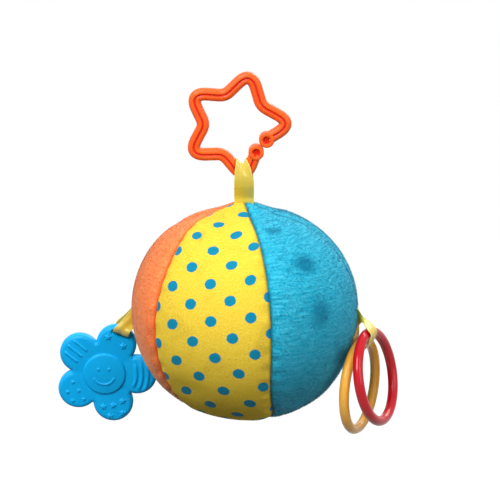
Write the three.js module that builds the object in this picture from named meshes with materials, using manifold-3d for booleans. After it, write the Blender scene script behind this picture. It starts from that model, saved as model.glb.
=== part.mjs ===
// Plush teether ball: a stuffed ball of six gores hanging by a ribbon from a star link,
// with a flower teether and two rings on ribbon loops at its sides.
// Millimetres, +Z up, +X to the right, +Y away from the viewer.
// The origin is the place in the link's top lobe that rests on whatever the toy hangs from.
import * as THREE from 'three';
import { mergeVertices } from 'three/addons/utils/BufferGeometryUtils.js';
import Module from 'manifold-3d';

const wasm = await Module();
wasm.setup();

// Clearance between pieces that touch
const FIT_GAP = 0.3;

// Star link
const TIP_RADIUS = 25.3;
const VALLEY_RADIUS = 16.4;
const TIP_ANGLES = [2, 75, 145, 212, 279];
const TIP_CUT = 9.4;
const VALLEY_CUT = 3.2;
const TIP_HALF = 32;
const ARM_WIDTH = 6.5;
const ARM_DEPTH = 6.2;
const ARM_EDGE = 1.6;
const GROOVE_WIDTH = 1.8;
const GROOVE_DEPTH = 1.1;
const KNOB_OFFSET = 17.3;
const KNOB_RADIUS = 4;
const KNOB_DEPTH = 7;
const KNOB_EDGE = 0.7;
const RECESS_RADIUS = 2;
const RECESS_DEPTH = 1.2;
const MOUTH_GAP = 0.5;

// Ball
const BALL_RADIUS = 60;
const SHOULDER_DROP = 6;
const SHOULDER_SPREAD = 0.9;
const PEAK_RISE = 4.5;
const PEAK_SPREAD = 0.2;
const SAG_SWELL = 2;
const SEAM_ANGLES = [-110, -50.5, 13.5, 84, 139, 194];
const SEAM_BOW = [0, -50, 0, 0, 0, 0];
const BOW_SPREAD = 0.55;
const FOOT_BOW = [0, -24, 34, 0, 0, 0];
const FOOT_SPREAD = 0.62;
const SEAM_DIP = 1.2;
const SEAM_SPREAD = 4;
const PLUSH_THICKNESS = 2;
const GORE_TIP = 1.6;

// Rattle inside the stuffing
const CAPSULE_RADIUS = 16;
const CAPSULE_WALL = 1.6;
const CAPSULE_LIP = 2;
const CAPSULE_SIDES = 20;
const CAPSULE_STEPS = 6;
const BEAD_RADIUS = 2.6;
const BEAD_COUNT = 5;
const BEAD_PLAY = 0.2;
const LIP_ROOT = 2.2;

// Ribbons
const RIBBON_WIDTH = 10.3;
const RIBBON_THICKNESS = 0.6;
const RIBBON_TAIL = 5;
const GATHERED_WIDTH = 5;
const GATHER_SHIFT = 0.7;
const SLING_WIDTH = 8;
const LOOP_SLACK = 1;
const BAR_COVER = 1.2;
const TOP_DROP = 12;
const LEFT_STITCH_DROP = 7;
const LEFT_REACH = 18.2;
const LEFT_FALL = 47.9;
const RIGHT_STITCH_DROP = 4;

// Flower teether
const FLOWER_DEPTH = 7;
const PETAL_COUNT = 5;
const PETAL_RADIUS = 10.9;
const PETAL_OFFSET = 17.4;
const PLATE_RADIUS = 18.6;
const PETAL_TURN = 68;
const PETAL_EDGE = 2.4;
const PETAL_CROWN = 0.35;
const FACE_RADIUS = 11.6;
const FACE_RISE = 1.8;
const SLOT_OFFSET = 24.4;
const SLOT_LENGTH = 9.6;
const SLOT_WIDTH = 2.4;
const BUMP_RADIUS = 1.5;
const RIDGE_RADIUS = 0.9;
const RIDGE_PITCH = 4.1;
const ARCH_PITCH = 3.2;
const ARCH_SHIFT = 3;
const ARCH_HALF = 20;

// Rings
const RING_RADIUS = 23.35;
const TUBE_RADIUS = 2.65;
const RING_TURN = 66;
const RED_LEAN = 13;
const RING_PLAY = 1.9;
const RING_FORWARD = 6;
const RING_DROP = 11.4;
const RING_STACK = 57;

const FULL_TURN = 2 * Math.PI;

function radians(degrees) {
  return THREE.MathUtils.degToRad(degrees);
}

function polarXZ(radius, degrees) {
  return new THREE.Vector3(radius * Math.cos(radians(degrees)), 0, radius * Math.sin(radians(degrees)));
}

// Leaves only positions, joined where they meet, so that the surface is closed
function closed(geometry) {
  const bare = new THREE.BufferGeometry();
  bare.setAttribute('position', geometry.getAttribute('position'));
  bare.setIndex(geometry.getIndex());
  return mergeVertices(bare, 1e-4);
}

function signedVolume(geometry) {
  const position = geometry.getAttribute('position');
  const index = geometry.getIndex().array;
  const a = new THREE.Vector3();
  const b = new THREE.Vector3();
  const c = new THREE.Vector3();
  let volume = 0;
  for (let k = 0; k < index.length; k += 3) {
    a.fromBufferAttribute(position, index[k]);
    b.fromBufferAttribute(position, index[k + 1]);
    c.fromBufferAttribute(position, index[k + 2]);
    volume += a.dot(b.cross(c)) / 6;
  }
  return volume;
}

// Drops collapsed faces and turns the surface to face outwards
function tidy(geometry) {
  const merged = closed(geometry);
  const source = merged.getIndex().array;
  const faces = [];
  for (let k = 0; k < source.length; k += 3) {
    const [a, b, c] = source.slice(k, k + 3);
    if (a !== b && b !== c && c !== a) faces.push(a, b, c);
  }
  merged.setIndex(faces);
  if (signedVolume(merged) < 0) merged.setIndex(faces.reverse());
  return merged;
}

function toSolid(geometry) {
  const ready = tidy(geometry);
  const mesh = new wasm.Mesh({
    numProp: 3,
    vertProperties: new Float32Array(ready.getAttribute('position').array),
    triVerts: new Uint32Array(ready.getIndex().array),
  });
  return new wasm.Manifold(mesh);
}

function fromSolid(solid) {
  const mesh = solid.getMesh();
  const geometry = new THREE.BufferGeometry();
  geometry.setAttribute('position', new THREE.BufferAttribute(mesh.vertProperties, 3));
  geometry.setIndex(new THREE.BufferAttribute(mesh.triVerts, 1));
  return geometry;
}

// Closed slab between two grids of points with the same rows and columns
function slab(upper, lower) {
  const rows = upper.length;
  const columns = upper[0].length;
  const points = [...upper.flat(), ...lower.flat()];
  const faces = [];
  const at = (side, i, j) => side * rows * columns + i * columns + j;
  const quad = (a, b, c, d) => faces.push(a, b, c, a, c, d);
  for (let i = 0; i + 1 < rows; i += 1) {
    for (let j = 0; j + 1 < columns; j += 1) {
      quad(at(0, i, j), at(0, i + 1, j), at(0, i + 1, j + 1), at(0, i, j + 1));
      quad(at(1, i, j), at(1, i, j + 1), at(1, i + 1, j + 1), at(1, i + 1, j));
    }
    quad(at(0, i, 0), at(1, i, 0), at(1, i + 1, 0), at(0, i + 1, 0));
    quad(at(0, i + 1, columns - 1), at(1, i + 1, columns - 1), at(1, i, columns - 1), at(0, i, columns - 1));
  }
  for (let j = 0; j + 1 < columns; j += 1) {
    quad(at(0, 0, j + 1), at(1, 0, j + 1), at(1, 0, j), at(0, 0, j));
    quad(at(0, rows - 1, j), at(1, rows - 1, j), at(1, rows - 1, j + 1), at(0, rows - 1, j + 1));
  }
  const geometry = new THREE.BufferGeometry().setFromPoints(points);
  geometry.setIndex(faces);
  return tidy(geometry);
}

// Ribbon of even thickness along rows of points that lie in its middle surface
function ribbon(rows) {
  const offset = (i, j, side) => {
    const before = rows[Math.max(i - 1, 0)][j];
    const after = rows[Math.min(i + 1, rows.length - 1)][j];
    const left = rows[i][Math.max(j - 1, 0)];
    const right = rows[i][Math.min(j + 1, rows[i].length - 1)];
    const along = after.clone().sub(before);
    const across = right.clone().sub(left);
    const normal = along.cross(across).normalize();
    return rows[i][j].clone().addScaledVector(normal, side * RIBBON_THICKNESS / 2);
  };
  const upper = rows.map((row, i) => row.map((point, j) => offset(i, j, 1)));
  const lower = rows.map((row, i) => row.map((point, j) => offset(i, j, -1)));
  return slab(upper, lower);
}

// Star link: rounded corners joined by straight arms, from one round end to the other
const starCentre = polarXZ(ARM_WIDTH / 2 - TIP_RADIUS, TIP_ANGLES[1]);
const mouthAngle = (TIP_ANGLES[0] + TIP_ANGLES[4] - 360) / 2;
const knobSpread = THREE.MathUtils.radToDeg(Math.asin((KNOB_RADIUS + MOUTH_GAP / 2) / KNOB_OFFSET));
const knobCentres = [
  polarXZ(KNOB_OFFSET, mouthAngle + knobSpread),
  polarXZ(KNOB_OFFSET, mouthAngle - knobSpread),
];

function starCorners() {
  const corners = [knobCentres[0]];
  TIP_ANGLES.forEach((angle, k) => {
    const sharpTip = TIP_RADIUS + TIP_CUT * Math.cos(radians(TIP_HALF)) / 2;
    corners.push(polarXZ(sharpTip, angle));
    if (k < TIP_ANGLES.length - 1) {
      corners.push(polarXZ(VALLEY_RADIUS, (angle + TIP_ANGLES[k + 1]) / 2));
    }
  });
  corners.push(knobCentres[1]);
  return corners;
}

function starPath() {
  const corners = starCorners();
  const inset = KNOB_RADIUS - KNOB_EDGE;
  const last = corners.length - 1;
  const points = [corners[0].clone().lerp(corners[1], inset / corners[0].distanceTo(corners[1]))];
  for (let k = 1; k < last; k += 1) {
    const cut = k % 2 === 1 ? TIP_CUT : VALLEY_CUT;
    const before = corners[k].clone().lerp(corners[k - 1], cut / corners[k].distanceTo(corners[k - 1]));
    const after = corners[k].clone().lerp(corners[k + 1], cut / corners[k].distanceTo(corners[k + 1]));
    points.push(...new THREE.QuadraticBezierCurve3(before, corners[k], after).getPoints(6));
  }
  points.push(corners[last].clone().lerp(corners[last - 1], inset / corners[last].distanceTo(corners[last - 1])));
  return new THREE.CatmullRomCurve3(points.map((point) => point.add(starCentre)));
}

function armSection() {
  const half = ARM_WIDTH / 2;
  const face = ARM_DEPTH / 2;
  const soft = ARM_EDGE * 0.3;
  const front = [
    [face - ARM_EDGE, -half],
    [face - soft, soft - half],
    [face, ARM_EDGE - half],
    [face, -GROOVE_WIDTH / 2],
    [face - GROOVE_DEPTH, -GROOVE_WIDTH / 4],
    [face - GROOVE_DEPTH, GROOVE_WIDTH / 4],
    [face, GROOVE_WIDTH / 2],
    [face, half - ARM_EDGE],
    [face - soft, half - soft],
    [face - ARM_EDGE, half],
  ];
  const back = front.map(([depth, width]) => [-depth, -width]);
  return new THREE.Shape([...front, ...back].map(([depth, width]) => new THREE.Vector2(depth, width)));
}

const starCurve = starPath();

function knob(centre) {
  const face = KNOB_DEPTH / 2;
  const floor = face - RECESS_DEPTH;
  const half = [
    [0, floor],
    [RECESS_RADIUS, floor],
    [RECESS_RADIUS + KNOB_EDGE / 3, face],
    [KNOB_RADIUS - KNOB_EDGE, face],
    [KNOB_RADIUS, face - KNOB_EDGE],
  ];
  const mirrored = half.map(([radius, height]) => [radius, -height]).reverse();
  const profile = [...half, ...mirrored].map(([radius, height]) => new THREE.Vector2(radius, height));
  const geometry = new THREE.LatheGeometry(profile, 16);
  return geometry.translate(starCentre.x + centre.x, 0, starCentre.z + centre.z);
}

function starLink() {
  const arm = new THREE.ExtrudeGeometry(armSection(), { extrudePath: starCurve, steps: 60 });
  const ends = knobCentres.map((centre) => toSolid(knob(centre)));
  return fromSolid(wasm.Manifold.union([toSolid(arm), ...ends]));
}

// Ball: one radius for every direction, so that panels and stuffing share their shape
const lobe = polarXZ(TIP_RADIUS, TIP_ANGLES[4]).add(starCentre);
const poleHeight = lobe.z - ARM_WIDTH / 2 - TOP_DROP;
const topRadius = BALL_RADIUS - SHOULDER_DROP + PEAK_RISE - SEAM_DIP;
const ballCentre = new THREE.Vector3(lobe.x, 0, poleHeight - topRadius);
const sagDirection = new THREE.Vector3(0.57, 0, -0.82);

function direction(polar, azimuth) {
  const flat = Math.sin(polar);
  return new THREE.Vector3(flat * Math.sin(azimuth), -flat * Math.cos(azimuth), Math.cos(polar));
}

// Azimuth of a seam, which may bow to one side near the top or the foot; seams are counted on past a full turn
function seamAzimuth(k, polar) {
  const count = SEAM_ANGLES.length;
  const high = SEAM_BOW[k % count] * Math.exp(-((polar / BOW_SPREAD) ** 2));
  const low = FOOT_BOW[k % count] * Math.exp(-(((Math.PI - polar) / FOOT_SPREAD) ** 2));
  return radians(SEAM_ANGLES[k % count] + high + low) + FULL_TURN * Math.floor(k / count);
}

function seamDistance(polar, azimuth, radius) {
  const turns = SEAM_ANGLES.map((angle, k) => {
    const apart = THREE.MathUtils.euclideanModulo(azimuth - seamAzimuth(k, polar), FULL_TURN);
    return Math.min(apart, FULL_TURN - apart);
  });
  return Math.min(...turns) * radius * Math.sin(polar);
}

function smoothRadius(polar, azimuth) {
  const shoulder = SHOULDER_DROP * Math.exp(-((polar / SHOULDER_SPREAD) ** 2));
  const peak = PEAK_RISE * Math.exp(-((polar / PEAK_SPREAD) ** 2));
  const sag = SAG_SWELL * Math.max(0, direction(polar, azimuth).dot(sagDirection)) ** 12;
  return BALL_RADIUS - shoulder + peak + sag;
}

function ballRadius(polar, azimuth) {
  const smooth = smoothRadius(polar, azimuth);
  const dip = SEAM_DIP * Math.exp(-((seamDistance(polar, azimuth, smooth) / SEAM_SPREAD) ** 2));
  return smooth - dip;
}

function ballPoint(polar, azimuth, inset) {
  const radius = ballRadius(polar, azimuth) - inset;
  return direction(polar, azimuth).multiplyScalar(radius).add(ballCentre);
}

// A place on a seam, given by how far it lies below the ball's middle
function seamPoint(angle, drop) {
  const polar = Math.PI / 2 + Math.asin(drop / BALL_RADIUS);
  return ballPoint(polar, radians(angle), 0);
}

const leftStitch = seamPoint(SEAM_ANGLES[0], LEFT_STITCH_DROP);
const rightStitch = seamPoint(SEAM_ANGLES[3], RIGHT_STITCH_DROP);
const topStitch = ballPoint(0, 0, 0);

// Opening in a seam that both layers of a ribbon's tail go into
function tailSlot(stitch, across, outward) {
  const layers = 2 * RIBBON_THICKNESS + FIT_GAP;
  const depth = RIBBON_TAIL + FIT_GAP;
  const box = new THREE.BoxGeometry(RIBBON_WIDTH + 2 * FIT_GAP, layers + 2 * FIT_GAP, 2 * depth);
  const through = new THREE.Vector3().crossVectors(outward, across).normalize();
  const basis = new THREE.Matrix4().makeBasis(across, through, outward);
  box.applyMatrix4(basis);
  return box.translate(stitch.x, stitch.y, stitch.z);
}

const upward = new THREE.Vector3(0, 0, 1);
const sideways = new THREE.Vector3(1, 0, 0);
const leftOutward = direction(Math.PI / 2, radians(SEAM_ANGLES[0]));
const rightOutward = direction(Math.PI / 2, radians(SEAM_ANGLES[3]));
const tailSlots = wasm.Manifold.union([
  toSolid(tailSlot(topStitch, sideways, upward)),
  toSolid(tailSlot(leftStitch, upward, leftOutward)),
  toSolid(tailSlot(rightStitch, upward, rightOutward)),
]);

// Panel: a shell from one seam to the next, with rows from pole to pole and columns closer near the seams
function panel(k) {
  const rowCount = 20;
  const columnCount = 10;
  const firstPolar = GORE_TIP / BALL_RADIUS;
  const rows = [0, PLUSH_THICKNESS].map((inset) => {
    const grid = [];
    for (let i = 0; i <= rowCount; i += 1) {
      const polar = firstPolar + (Math.PI - 2 * firstPolar) * i / rowCount;
      const margin = FIT_GAP / 2 / ((BALL_RADIUS - SHOULDER_DROP) * Math.sin(polar));
      const start = seamAzimuth(k, polar) + margin;
      const end = seamAzimuth(k + 1, polar) - margin;
      const row = [];
      for (let j = 0; j <= columnCount; j += 1) {
        const share = (1 - Math.cos(Math.PI * j / columnCount)) / 2;
        row.push(ballPoint(polar, start + (end - start) * share, inset));
      }
      grid.push(row);
    }
    return grid;
  });
  return fromSolid(toSolid(slab(rows[0], rows[1])).subtract(tailSlots));
}

// Stuffing: the ball's inside below the seams, cut in two round the rattle
function corePoint(polar, azimuth) {
  const radius = smoothRadius(polar, azimuth) - SEAM_DIP - PLUSH_THICKNESS - 2 * FIT_GAP;
  return direction(polar, azimuth).multiplyScalar(radius).add(ballCentre);
}

function ballCore() {
  const rowCount = 16;
  const columnCount = 24;
  const points = [corePoint(0, 0)];
  for (let i = 1; i < rowCount; i += 1) {
    for (let j = 0; j < columnCount; j += 1) {
      points.push(corePoint(Math.PI * i / rowCount, FULL_TURN * j / columnCount));
    }
  }
  points.push(corePoint(Math.PI, 0));
  const faces = [];
  const at = (i, j) => 1 + (i - 1) * columnCount + j % columnCount;
  for (let j = 0; j < columnCount; j += 1) {
    faces.push(0, at(1, j), at(1, j + 1));
    faces.push(points.length - 1, at(rowCount - 1, j + 1), at(rowCount - 1, j));
    for (let i = 1; i + 1 < rowCount; i += 1) {
      faces.push(at(i, j), at(i + 1, j), at(i + 1, j + 1));
      faces.push(at(i, j), at(i + 1, j + 1), at(i, j + 1));
    }
  }
  const geometry = new THREE.BufferGeometry().setFromPoints(points);
  geometry.setIndex(faces);
  return toSolid(geometry);
}

function pocketedCore() {
  const pocket = new THREE.SphereGeometry(CAPSULE_RADIUS + FIT_GAP, CAPSULE_SIDES, 2 * CAPSULE_STEPS);
  pocket.rotateX(Math.PI / 2);
  pocket.translate(ballCentre.x, ballCentre.y, ballCentre.z);
  return ballCore().subtract(toSolid(pocket)).subtract(tailSlots);
}

const core = pocketedCore();

function stuffing(side) {
  const half = core.trimByPlane([0, 0, side], side * ballCentre.z + FIT_GAP / 2);
  return fromSolid(half);
}

// Rattle: two half shells that meet round the middle, the lower with a lip inside the upper
function capsuleProfile(start, end) {
  const inner = CAPSULE_RADIUS - CAPSULE_WALL;
  const arc = (radius, from, to) => {
    const points = [];
    for (let k = 0; k <= CAPSULE_STEPS; k += 1) {
      const angle = from + (to - from) * k / CAPSULE_STEPS;
      points.push(new THREE.Vector2(radius * Math.cos(angle), radius * Math.sin(angle)));
    }
    return points;
  };
  return { outer: arc(CAPSULE_RADIUS, start, end), inner: arc(inner, end, start) };
}

function capsuleUpper() {
  const rise = FIT_GAP / 2;
  const { outer, inner } = capsuleProfile(Math.PI / 2, 0);
  const profile = [...outer, ...inner].map((point) => new THREE.Vector2(Math.max(point.x, 0), point.y + rise));
  const geometry = new THREE.LatheGeometry(profile, CAPSULE_SIDES).rotateX(Math.PI / 2);
  return tidy(geometry.translate(ballCentre.x, ballCentre.y, ballCentre.z));
}

function capsuleLower() {
  const rise = -FIT_GAP / 2;
  const { outer, inner } = capsuleProfile(-Math.PI / 2, 0);
  const innerRadius = CAPSULE_RADIUS - CAPSULE_WALL;
  const lipOuter = Math.sqrt(innerRadius ** 2 - (CAPSULE_LIP + FIT_GAP) ** 2) - 2 * FIT_GAP;
  const lipInner = lipOuter - CAPSULE_WALL / 2;
  const lip = [
    new THREE.Vector2(lipOuter, -rise),
    new THREE.Vector2(lipOuter, CAPSULE_LIP),
    new THREE.Vector2(lipInner, CAPSULE_LIP),
    new THREE.Vector2(lipInner, -CAPSULE_LIP * 2),
  ];
  const rim = [new THREE.Vector2(lipOuter, 0)];
  const bowl = inner.filter((point) => point.y < -CAPSULE_LIP * LIP_ROOT);
  const profile = [...outer, ...rim, ...lip, ...bowl].map((point) => {
    return new THREE.Vector2(Math.max(point.x, 0), point.y + rise);
  });
  const geometry = new THREE.LatheGeometry(profile, CAPSULE_SIDES).rotateX(Math.PI / 2);
  return tidy(geometry.translate(ballCentre.x, ballCentre.y, ballCentre.z));
}

// Beads lie in a circle on the floor of the capsule
const beadCircle = (BEAD_RADIUS + FIT_GAP) / Math.sin(Math.PI / BEAD_COUNT);
const beadReach = CAPSULE_RADIUS - CAPSULE_WALL - BEAD_RADIUS - FIT_GAP - BEAD_PLAY;
const beadDrop = Math.sqrt(beadReach ** 2 - beadCircle ** 2);

function bead(k) {
  const angle = FULL_TURN * k / BEAD_COUNT;
  const geometry = new THREE.SphereGeometry(BEAD_RADIUS, 8, 6);
  geometry.translate(
    ballCentre.x + beadCircle * Math.cos(angle),
    ballCentre.y + beadCircle * Math.sin(angle),
    ballCentre.z - FIT_GAP / 2 - beadDrop,
  );
  return tidy(geometry);
}

// Smooth loop from one tail to the other through the points of half a loop and its mirror image
function loopRows(stations, count) {
  const curves = stations.map((points) => new THREE.CatmullRomCurve3(points, false, 'centripetal'));
  const rows = [];
  for (let i = 0; i <= count; i += 1) {
    rows.push(curves.map((curve) => curve.getPoint(i / count)));
  }
  return rows;
}

const layerApart = (RIBBON_THICKNESS + FIT_GAP) / 2;
const acrossSteps = [-1, -0.5, 0, 0.5, 1];

// Height of the link's upper side over a place in the bottom lobe
const lobePoints = starCurve.getSpacedPoints(240).filter((point) => {
  return point.distanceTo(lobe) < RIBBON_WIDTH;
});

function lobeTop(x) {
  const reach = ARM_WIDTH / 2;
  const heights = lobePoints.map((point) => {
    const apart = Math.min(Math.abs(x - point.x), reach);
    return point.z + Math.sqrt(reach ** 2 - apart ** 2);
  });
  return Math.max(...heights);
}

function topRibbon() {
  const halfDepth = ARM_DEPTH / 2 + RIBBON_THICKNESS / 2 + FIT_GAP + LOOP_SLACK;
  const stations = acrossSteps.map((share) => {
    const foldX = lobe.x - GATHER_SHIFT + share * GATHERED_WIDTH / 2;
    const footX = lobe.x + share * RIBBON_WIDTH / 2;
    const foldZ = lobeTop(foldX) + RIBBON_THICKNESS / 2 + FIT_GAP + LOOP_SLACK / 2;
    const crest = ARM_WIDTH / 2 + LOOP_SLACK / 2;
    const between = (part) => foldX + (footX - foldX) * part;
    const front = [
      [footX, layerApart, topStitch.z - RIBBON_TAIL],
      [footX, layerApart, topStitch.z],
      [footX, layerApart * 1.6, topStitch.z + TOP_DROP * 0.2],
      [footX, halfDepth * 0.75, lobe.z - ARM_WIDTH],
      [between(0.85), halfDepth, lobe.z - ARM_WIDTH / 4],
      [between(0.5), halfDepth * 0.97, foldZ - crest],
      [between(0.15), halfDepth * 0.8, foldZ - crest * 0.3],
      [foldX, halfDepth * 0.42, foldZ - crest * 0.04],
    ];
    const back = front.slice().reverse();
    return [
      ...front.map(([x, y, z]) => new THREE.Vector3(x, -y, z)),
      ...back.map(([x, y, z]) => new THREE.Vector3(x, y, z)),
    ];
  });
  return ribbon(loopRows(stations, 30));
}

// Flower teether, drawn round its own centre in the XZ plane
const slotUp = polarXZ(1, PETAL_TURN);
const slotAcross = polarXZ(1, PETAL_TURN - 90);
const slotCentre = leftStitch.clone().add(polarXZ(-LEFT_REACH, LEFT_FALL));
const flowerCentre = slotCentre.clone().addScaledVector(slotUp, -SLOT_OFFSET);

function pillow(radius, rise) {
  const half = FLOWER_DEPTH / 2;
  const rim = [
    [0, half + rise],
    [radius * 0.45, half + rise * 0.8],
    [radius - PETAL_EDGE, half],
    [radius - PETAL_EDGE * 0.3, half - PETAL_EDGE * 0.3],
    [radius, half - PETAL_EDGE],
  ];
  const under = rim.map(([r, height]) => [r, -Math.min(height, half)]).reverse();
  under[under.length - 1] = [0, -half];
  const profile = [...rim, ...under].map(([r, height]) => new THREE.Vector2(r, height));
  return new THREE.LatheGeometry(profile, 20).rotateZ(Math.PI);
}

function petalPlace(k, outward, aside) {
  const turn = PETAL_TURN + 360 * k / PETAL_COUNT;
  return polarXZ(PETAL_OFFSET + outward, turn).add(polarXZ(aside, turn + 90));
}

function placed(geometry, place) {
  return geometry.translate(place.x, place.y, place.z);
}

const petalFace = -FLOWER_DEPTH / 2 - PETAL_CROWN;

function bump(k, outward, aside, radius) {
  const geometry = new THREE.SphereGeometry(radius, 8, 4);
  const place = petalPlace(k, outward, aside);
  place.y = petalFace + radius * 0.35;
  return placed(geometry, place);
}

// Ridge along a petal, at a place to one side of its middle
function ridge(k, aside) {
  const length = PETAL_RADIUS * 0.7;
  const geometry = new THREE.CapsuleGeometry(RIDGE_RADIUS, length, 2, 6).rotateZ(Math.PI / 2);
  geometry.rotateY(-radians(PETAL_TURN + 360 * k / PETAL_COUNT));
  const place = petalPlace(k, PETAL_RADIUS * 0.25, aside);
  place.y = petalFace + RIDGE_RADIUS * 0.3;
  return placed(geometry, place);
}

// Ridge round the flower's centre, over part of a petal
function arch(k, radius) {
  const turn = PETAL_TURN + 360 * k / PETAL_COUNT;
  const points = [];
  for (let step = -4; step <= 4; step += 1) {
    const place = polarXZ(radius, turn + step * ARCH_HALF / 4);
    place.y = petalFace + RIDGE_RADIUS * 0.3;
    points.push(place);
  }
  const circle = new THREE.Shape().absarc(0, 0, RIDGE_RADIUS, 0, FULL_TURN);
  const path = new THREE.CatmullRomCurve3(points);
  return new THREE.ExtrudeGeometry(circle, { extrudePath: path, steps: 8, curveSegments: 3 });
}

function flowerSlot() {
  const straight = (SLOT_LENGTH - SLOT_WIDTH) / 2;
  const shape = new THREE.Shape();
  shape.absarc(straight, 0, SLOT_WIDTH / 2, -Math.PI / 2, Math.PI / 2);
  shape.absarc(-straight, 0, SLOT_WIDTH / 2, Math.PI / 2, Math.PI * 1.5);
  const depth = FLOWER_DEPTH * 2;
  const geometry = new THREE.ExtrudeGeometry(shape, { depth, bevelEnabled: false, curveSegments: 6 });
  geometry.translate(0, 0, -depth / 2).rotateX(Math.PI / 2).rotateY(-radians(PETAL_TURN - 90));
  return placed(geometry, slotUp.clone().multiplyScalar(SLOT_OFFSET));
}

function flowerTeether() {
  const pieces = [toSolid(pillow(FACE_RADIUS, FACE_RISE)), toSolid(pillow(PLATE_RADIUS, 0))];
  for (let k = 0; k < PETAL_COUNT; k += 1) {
    pieces.push(toSolid(placed(pillow(PETAL_RADIUS, PETAL_CROWN), petalPlace(k, 0, 0))));
  }
  // Petal, share of its radius outwards and aside, and size of each bump
  const bumps = [
    [0, 0.28, 0.52, 1.3],
    [0, 0.1, -0.35, 1.3],
    [2, 0, -0.46, 1],
    [2, 0.5, -0.18, 1],
    [2, 0, 0.06, 1],
    [2, 0.54, 0.35, 1],
    [2, 0, 0.57, 1],
    [3, 0.06, -0.52, 1.3],
    [3, 0.12, 0, 1.3],
    [3, 0.06, 0.5, 1.3],
    [3, 0.6, -0.3, 1.3],
    [3, 0.6, 0.34, 1.3],
  ];
  const textures = bumps.map(([k, outward, aside, size]) => {
    return bump(k, outward * PETAL_RADIUS, aside * PETAL_RADIUS, size * BUMP_RADIUS);
  });
  for (let k = -1; k <= 1; k += 1) {
    textures.push(ridge(1, k * RIDGE_PITCH));
    textures.push(arch(4, PETAL_OFFSET + ARCH_SHIFT + k * ARCH_PITCH));
  }
  const raised = wasm.Manifold.union([...pieces, ...textures.map((piece) => toSolid(piece))]);
  const geometry = fromSolid(raised.subtract(toSolid(flowerSlot())));
  return placed(geometry, flowerCentre);
}

// Left ribbon: upright in the seam, turned along the flower's slot at its fold
function leftRibbon() {
  const fold = FLOWER_DEPTH / 2 + PETAL_CROWN + RIBBON_THICKNESS / 2 + FIT_GAP;
  const slotHalf = (SLOT_LENGTH - SLOT_WIDTH / 2) / 2;
  const stations = acrossSteps.map((share) => {
    const foot = leftStitch.clone().addScaledVector(upward, -share * RIBBON_WIDTH / 2);
    const layer = new THREE.Vector3(-leftOutward.y, leftOutward.x, 0).multiplyScalar(-layerApart);
    const inSlot = slotCentre.clone().addScaledVector(slotAcross, share * slotHalf);
    const overBar = inSlot.clone().addScaledVector(slotUp, SLOT_WIDTH + BAR_COVER);
    const half = (side) => {
      const tail = foot.clone().addScaledVector(layer, side);
      const shifted = (point, depth) => point.clone().add(new THREE.Vector3(0, -side * depth, 0));
      return [
        tail.clone().addScaledVector(leftOutward, -RIBBON_TAIL),
        tail,
        tail.clone().addScaledVector(leftOutward, FIT_GAP * 5),
        shifted(overBar.clone().lerp(foot, 0.35), fold * 0.85),
        shifted(overBar, fold),
        shifted(inSlot.clone().addScaledVector(slotUp, SLOT_WIDTH / 4), fold),
        shifted(inSlot, fold * 0.8),
        shifted(inSlot, fold * 0.3),
      ];
    };
    return [...half(1), ...half(-1).reverse()];
  });
  return ribbon(loopRows(stations, 30));
}

// Rings hang side by side in the right loop, with their tops along the ribbon's width
const ringAlong = new THREE.Vector3(Math.cos(radians(RING_TURN)), Math.sin(radians(RING_TURN)), 0);
const ringAway = new THREE.Vector3(ringAlong.y, -ringAlong.x, 0);
const ringStandoff = TUBE_RADIUS + RIBBON_THICKNESS + 2 * FIT_GAP + RING_PLAY;
const ringSpacing = 2 * TUBE_RADIUS + RIBBON_THICKNESS + 2 * FIT_GAP;
const yellowTop = rightStitch.clone()
  .addScaledVector(ringAlong, -RING_FORWARD)
  .addScaledVector(ringAway, ringStandoff)
  .addScaledVector(upward, -RING_DROP);
const redTop = yellowTop.clone()
  .addScaledVector(ringAway, ringSpacing * Math.cos(radians(RING_STACK)))
  .addScaledVector(upward, ringSpacing * Math.sin(radians(RING_STACK)));

function ring(top, lean) {
  const down = upward.clone().multiplyScalar(-Math.cos(radians(lean)));
  down.addScaledVector(ringAway, Math.sin(radians(lean)));
  const axis = new THREE.Vector3().crossVectors(ringAlong, down).normalize();
  const centre = top.clone().addScaledVector(down, RING_RADIUS);
  const geometry = new THREE.TorusGeometry(RING_RADIUS, TUBE_RADIUS, 10, 44);
  geometry.applyMatrix4(new THREE.Matrix4().makeBasis(ringAlong, down, axis));
  return tidy(placed(geometry, centre));
}

// Right ribbon: upright in the seam, then twisted so that its width lies along the rings' tops
function rightRibbon() {
  const layer = new THREE.Vector3(-rightOutward.y, rightOutward.x, 0).multiplyScalar(-layerApart);
  const around = TUBE_RADIUS + FIT_GAP + RIBBON_THICKNESS / 2;
  const stations = acrossSteps.map((share) => {
    const foot = rightStitch.clone().addScaledVector(upward, share * RIBBON_WIDTH / 2);
    const across = ringAlong.clone().multiplyScalar(share * SLING_WIDTH / 2);
    const beside = (top, away, up) => {
      return top.clone().add(across).addScaledVector(ringAway, away).addScaledVector(upward, up);
    };
    const outerTail = foot.clone().add(layer);
    const innerTail = foot.clone().sub(layer);
    return [
      outerTail.clone().addScaledVector(rightOutward, -RIBBON_TAIL),
      outerTail,
      outerTail.clone().addScaledVector(rightOutward, FIT_GAP * 4),
      beside(redTop, around * 0.5, around * 1.15),
      beside(redTop, around * 1.15, around * 0.2),
      beside(redTop, around * 0.85, -around * 0.9),
      beside(yellowTop, around * 0.95, -around * 0.75),
      beside(yellowTop, 0, -around * 1.1),
      beside(yellowTop, -around * 0.85, -around * 0.75),
      beside(yellowTop, -around * 1.08, 0),
      beside(yellowTop, -around * 0.8, around * 1.2),
      innerTail.clone().addScaledVector(rightOutward, FIT_GAP * 3),
      innerTail,
      innerTail.clone().addScaledVector(rightOutward, -RIBBON_TAIL),
    ];
  });
  return ribbon(loopRows(stations, 38));
}

const toy = new THREE.Group();

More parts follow.
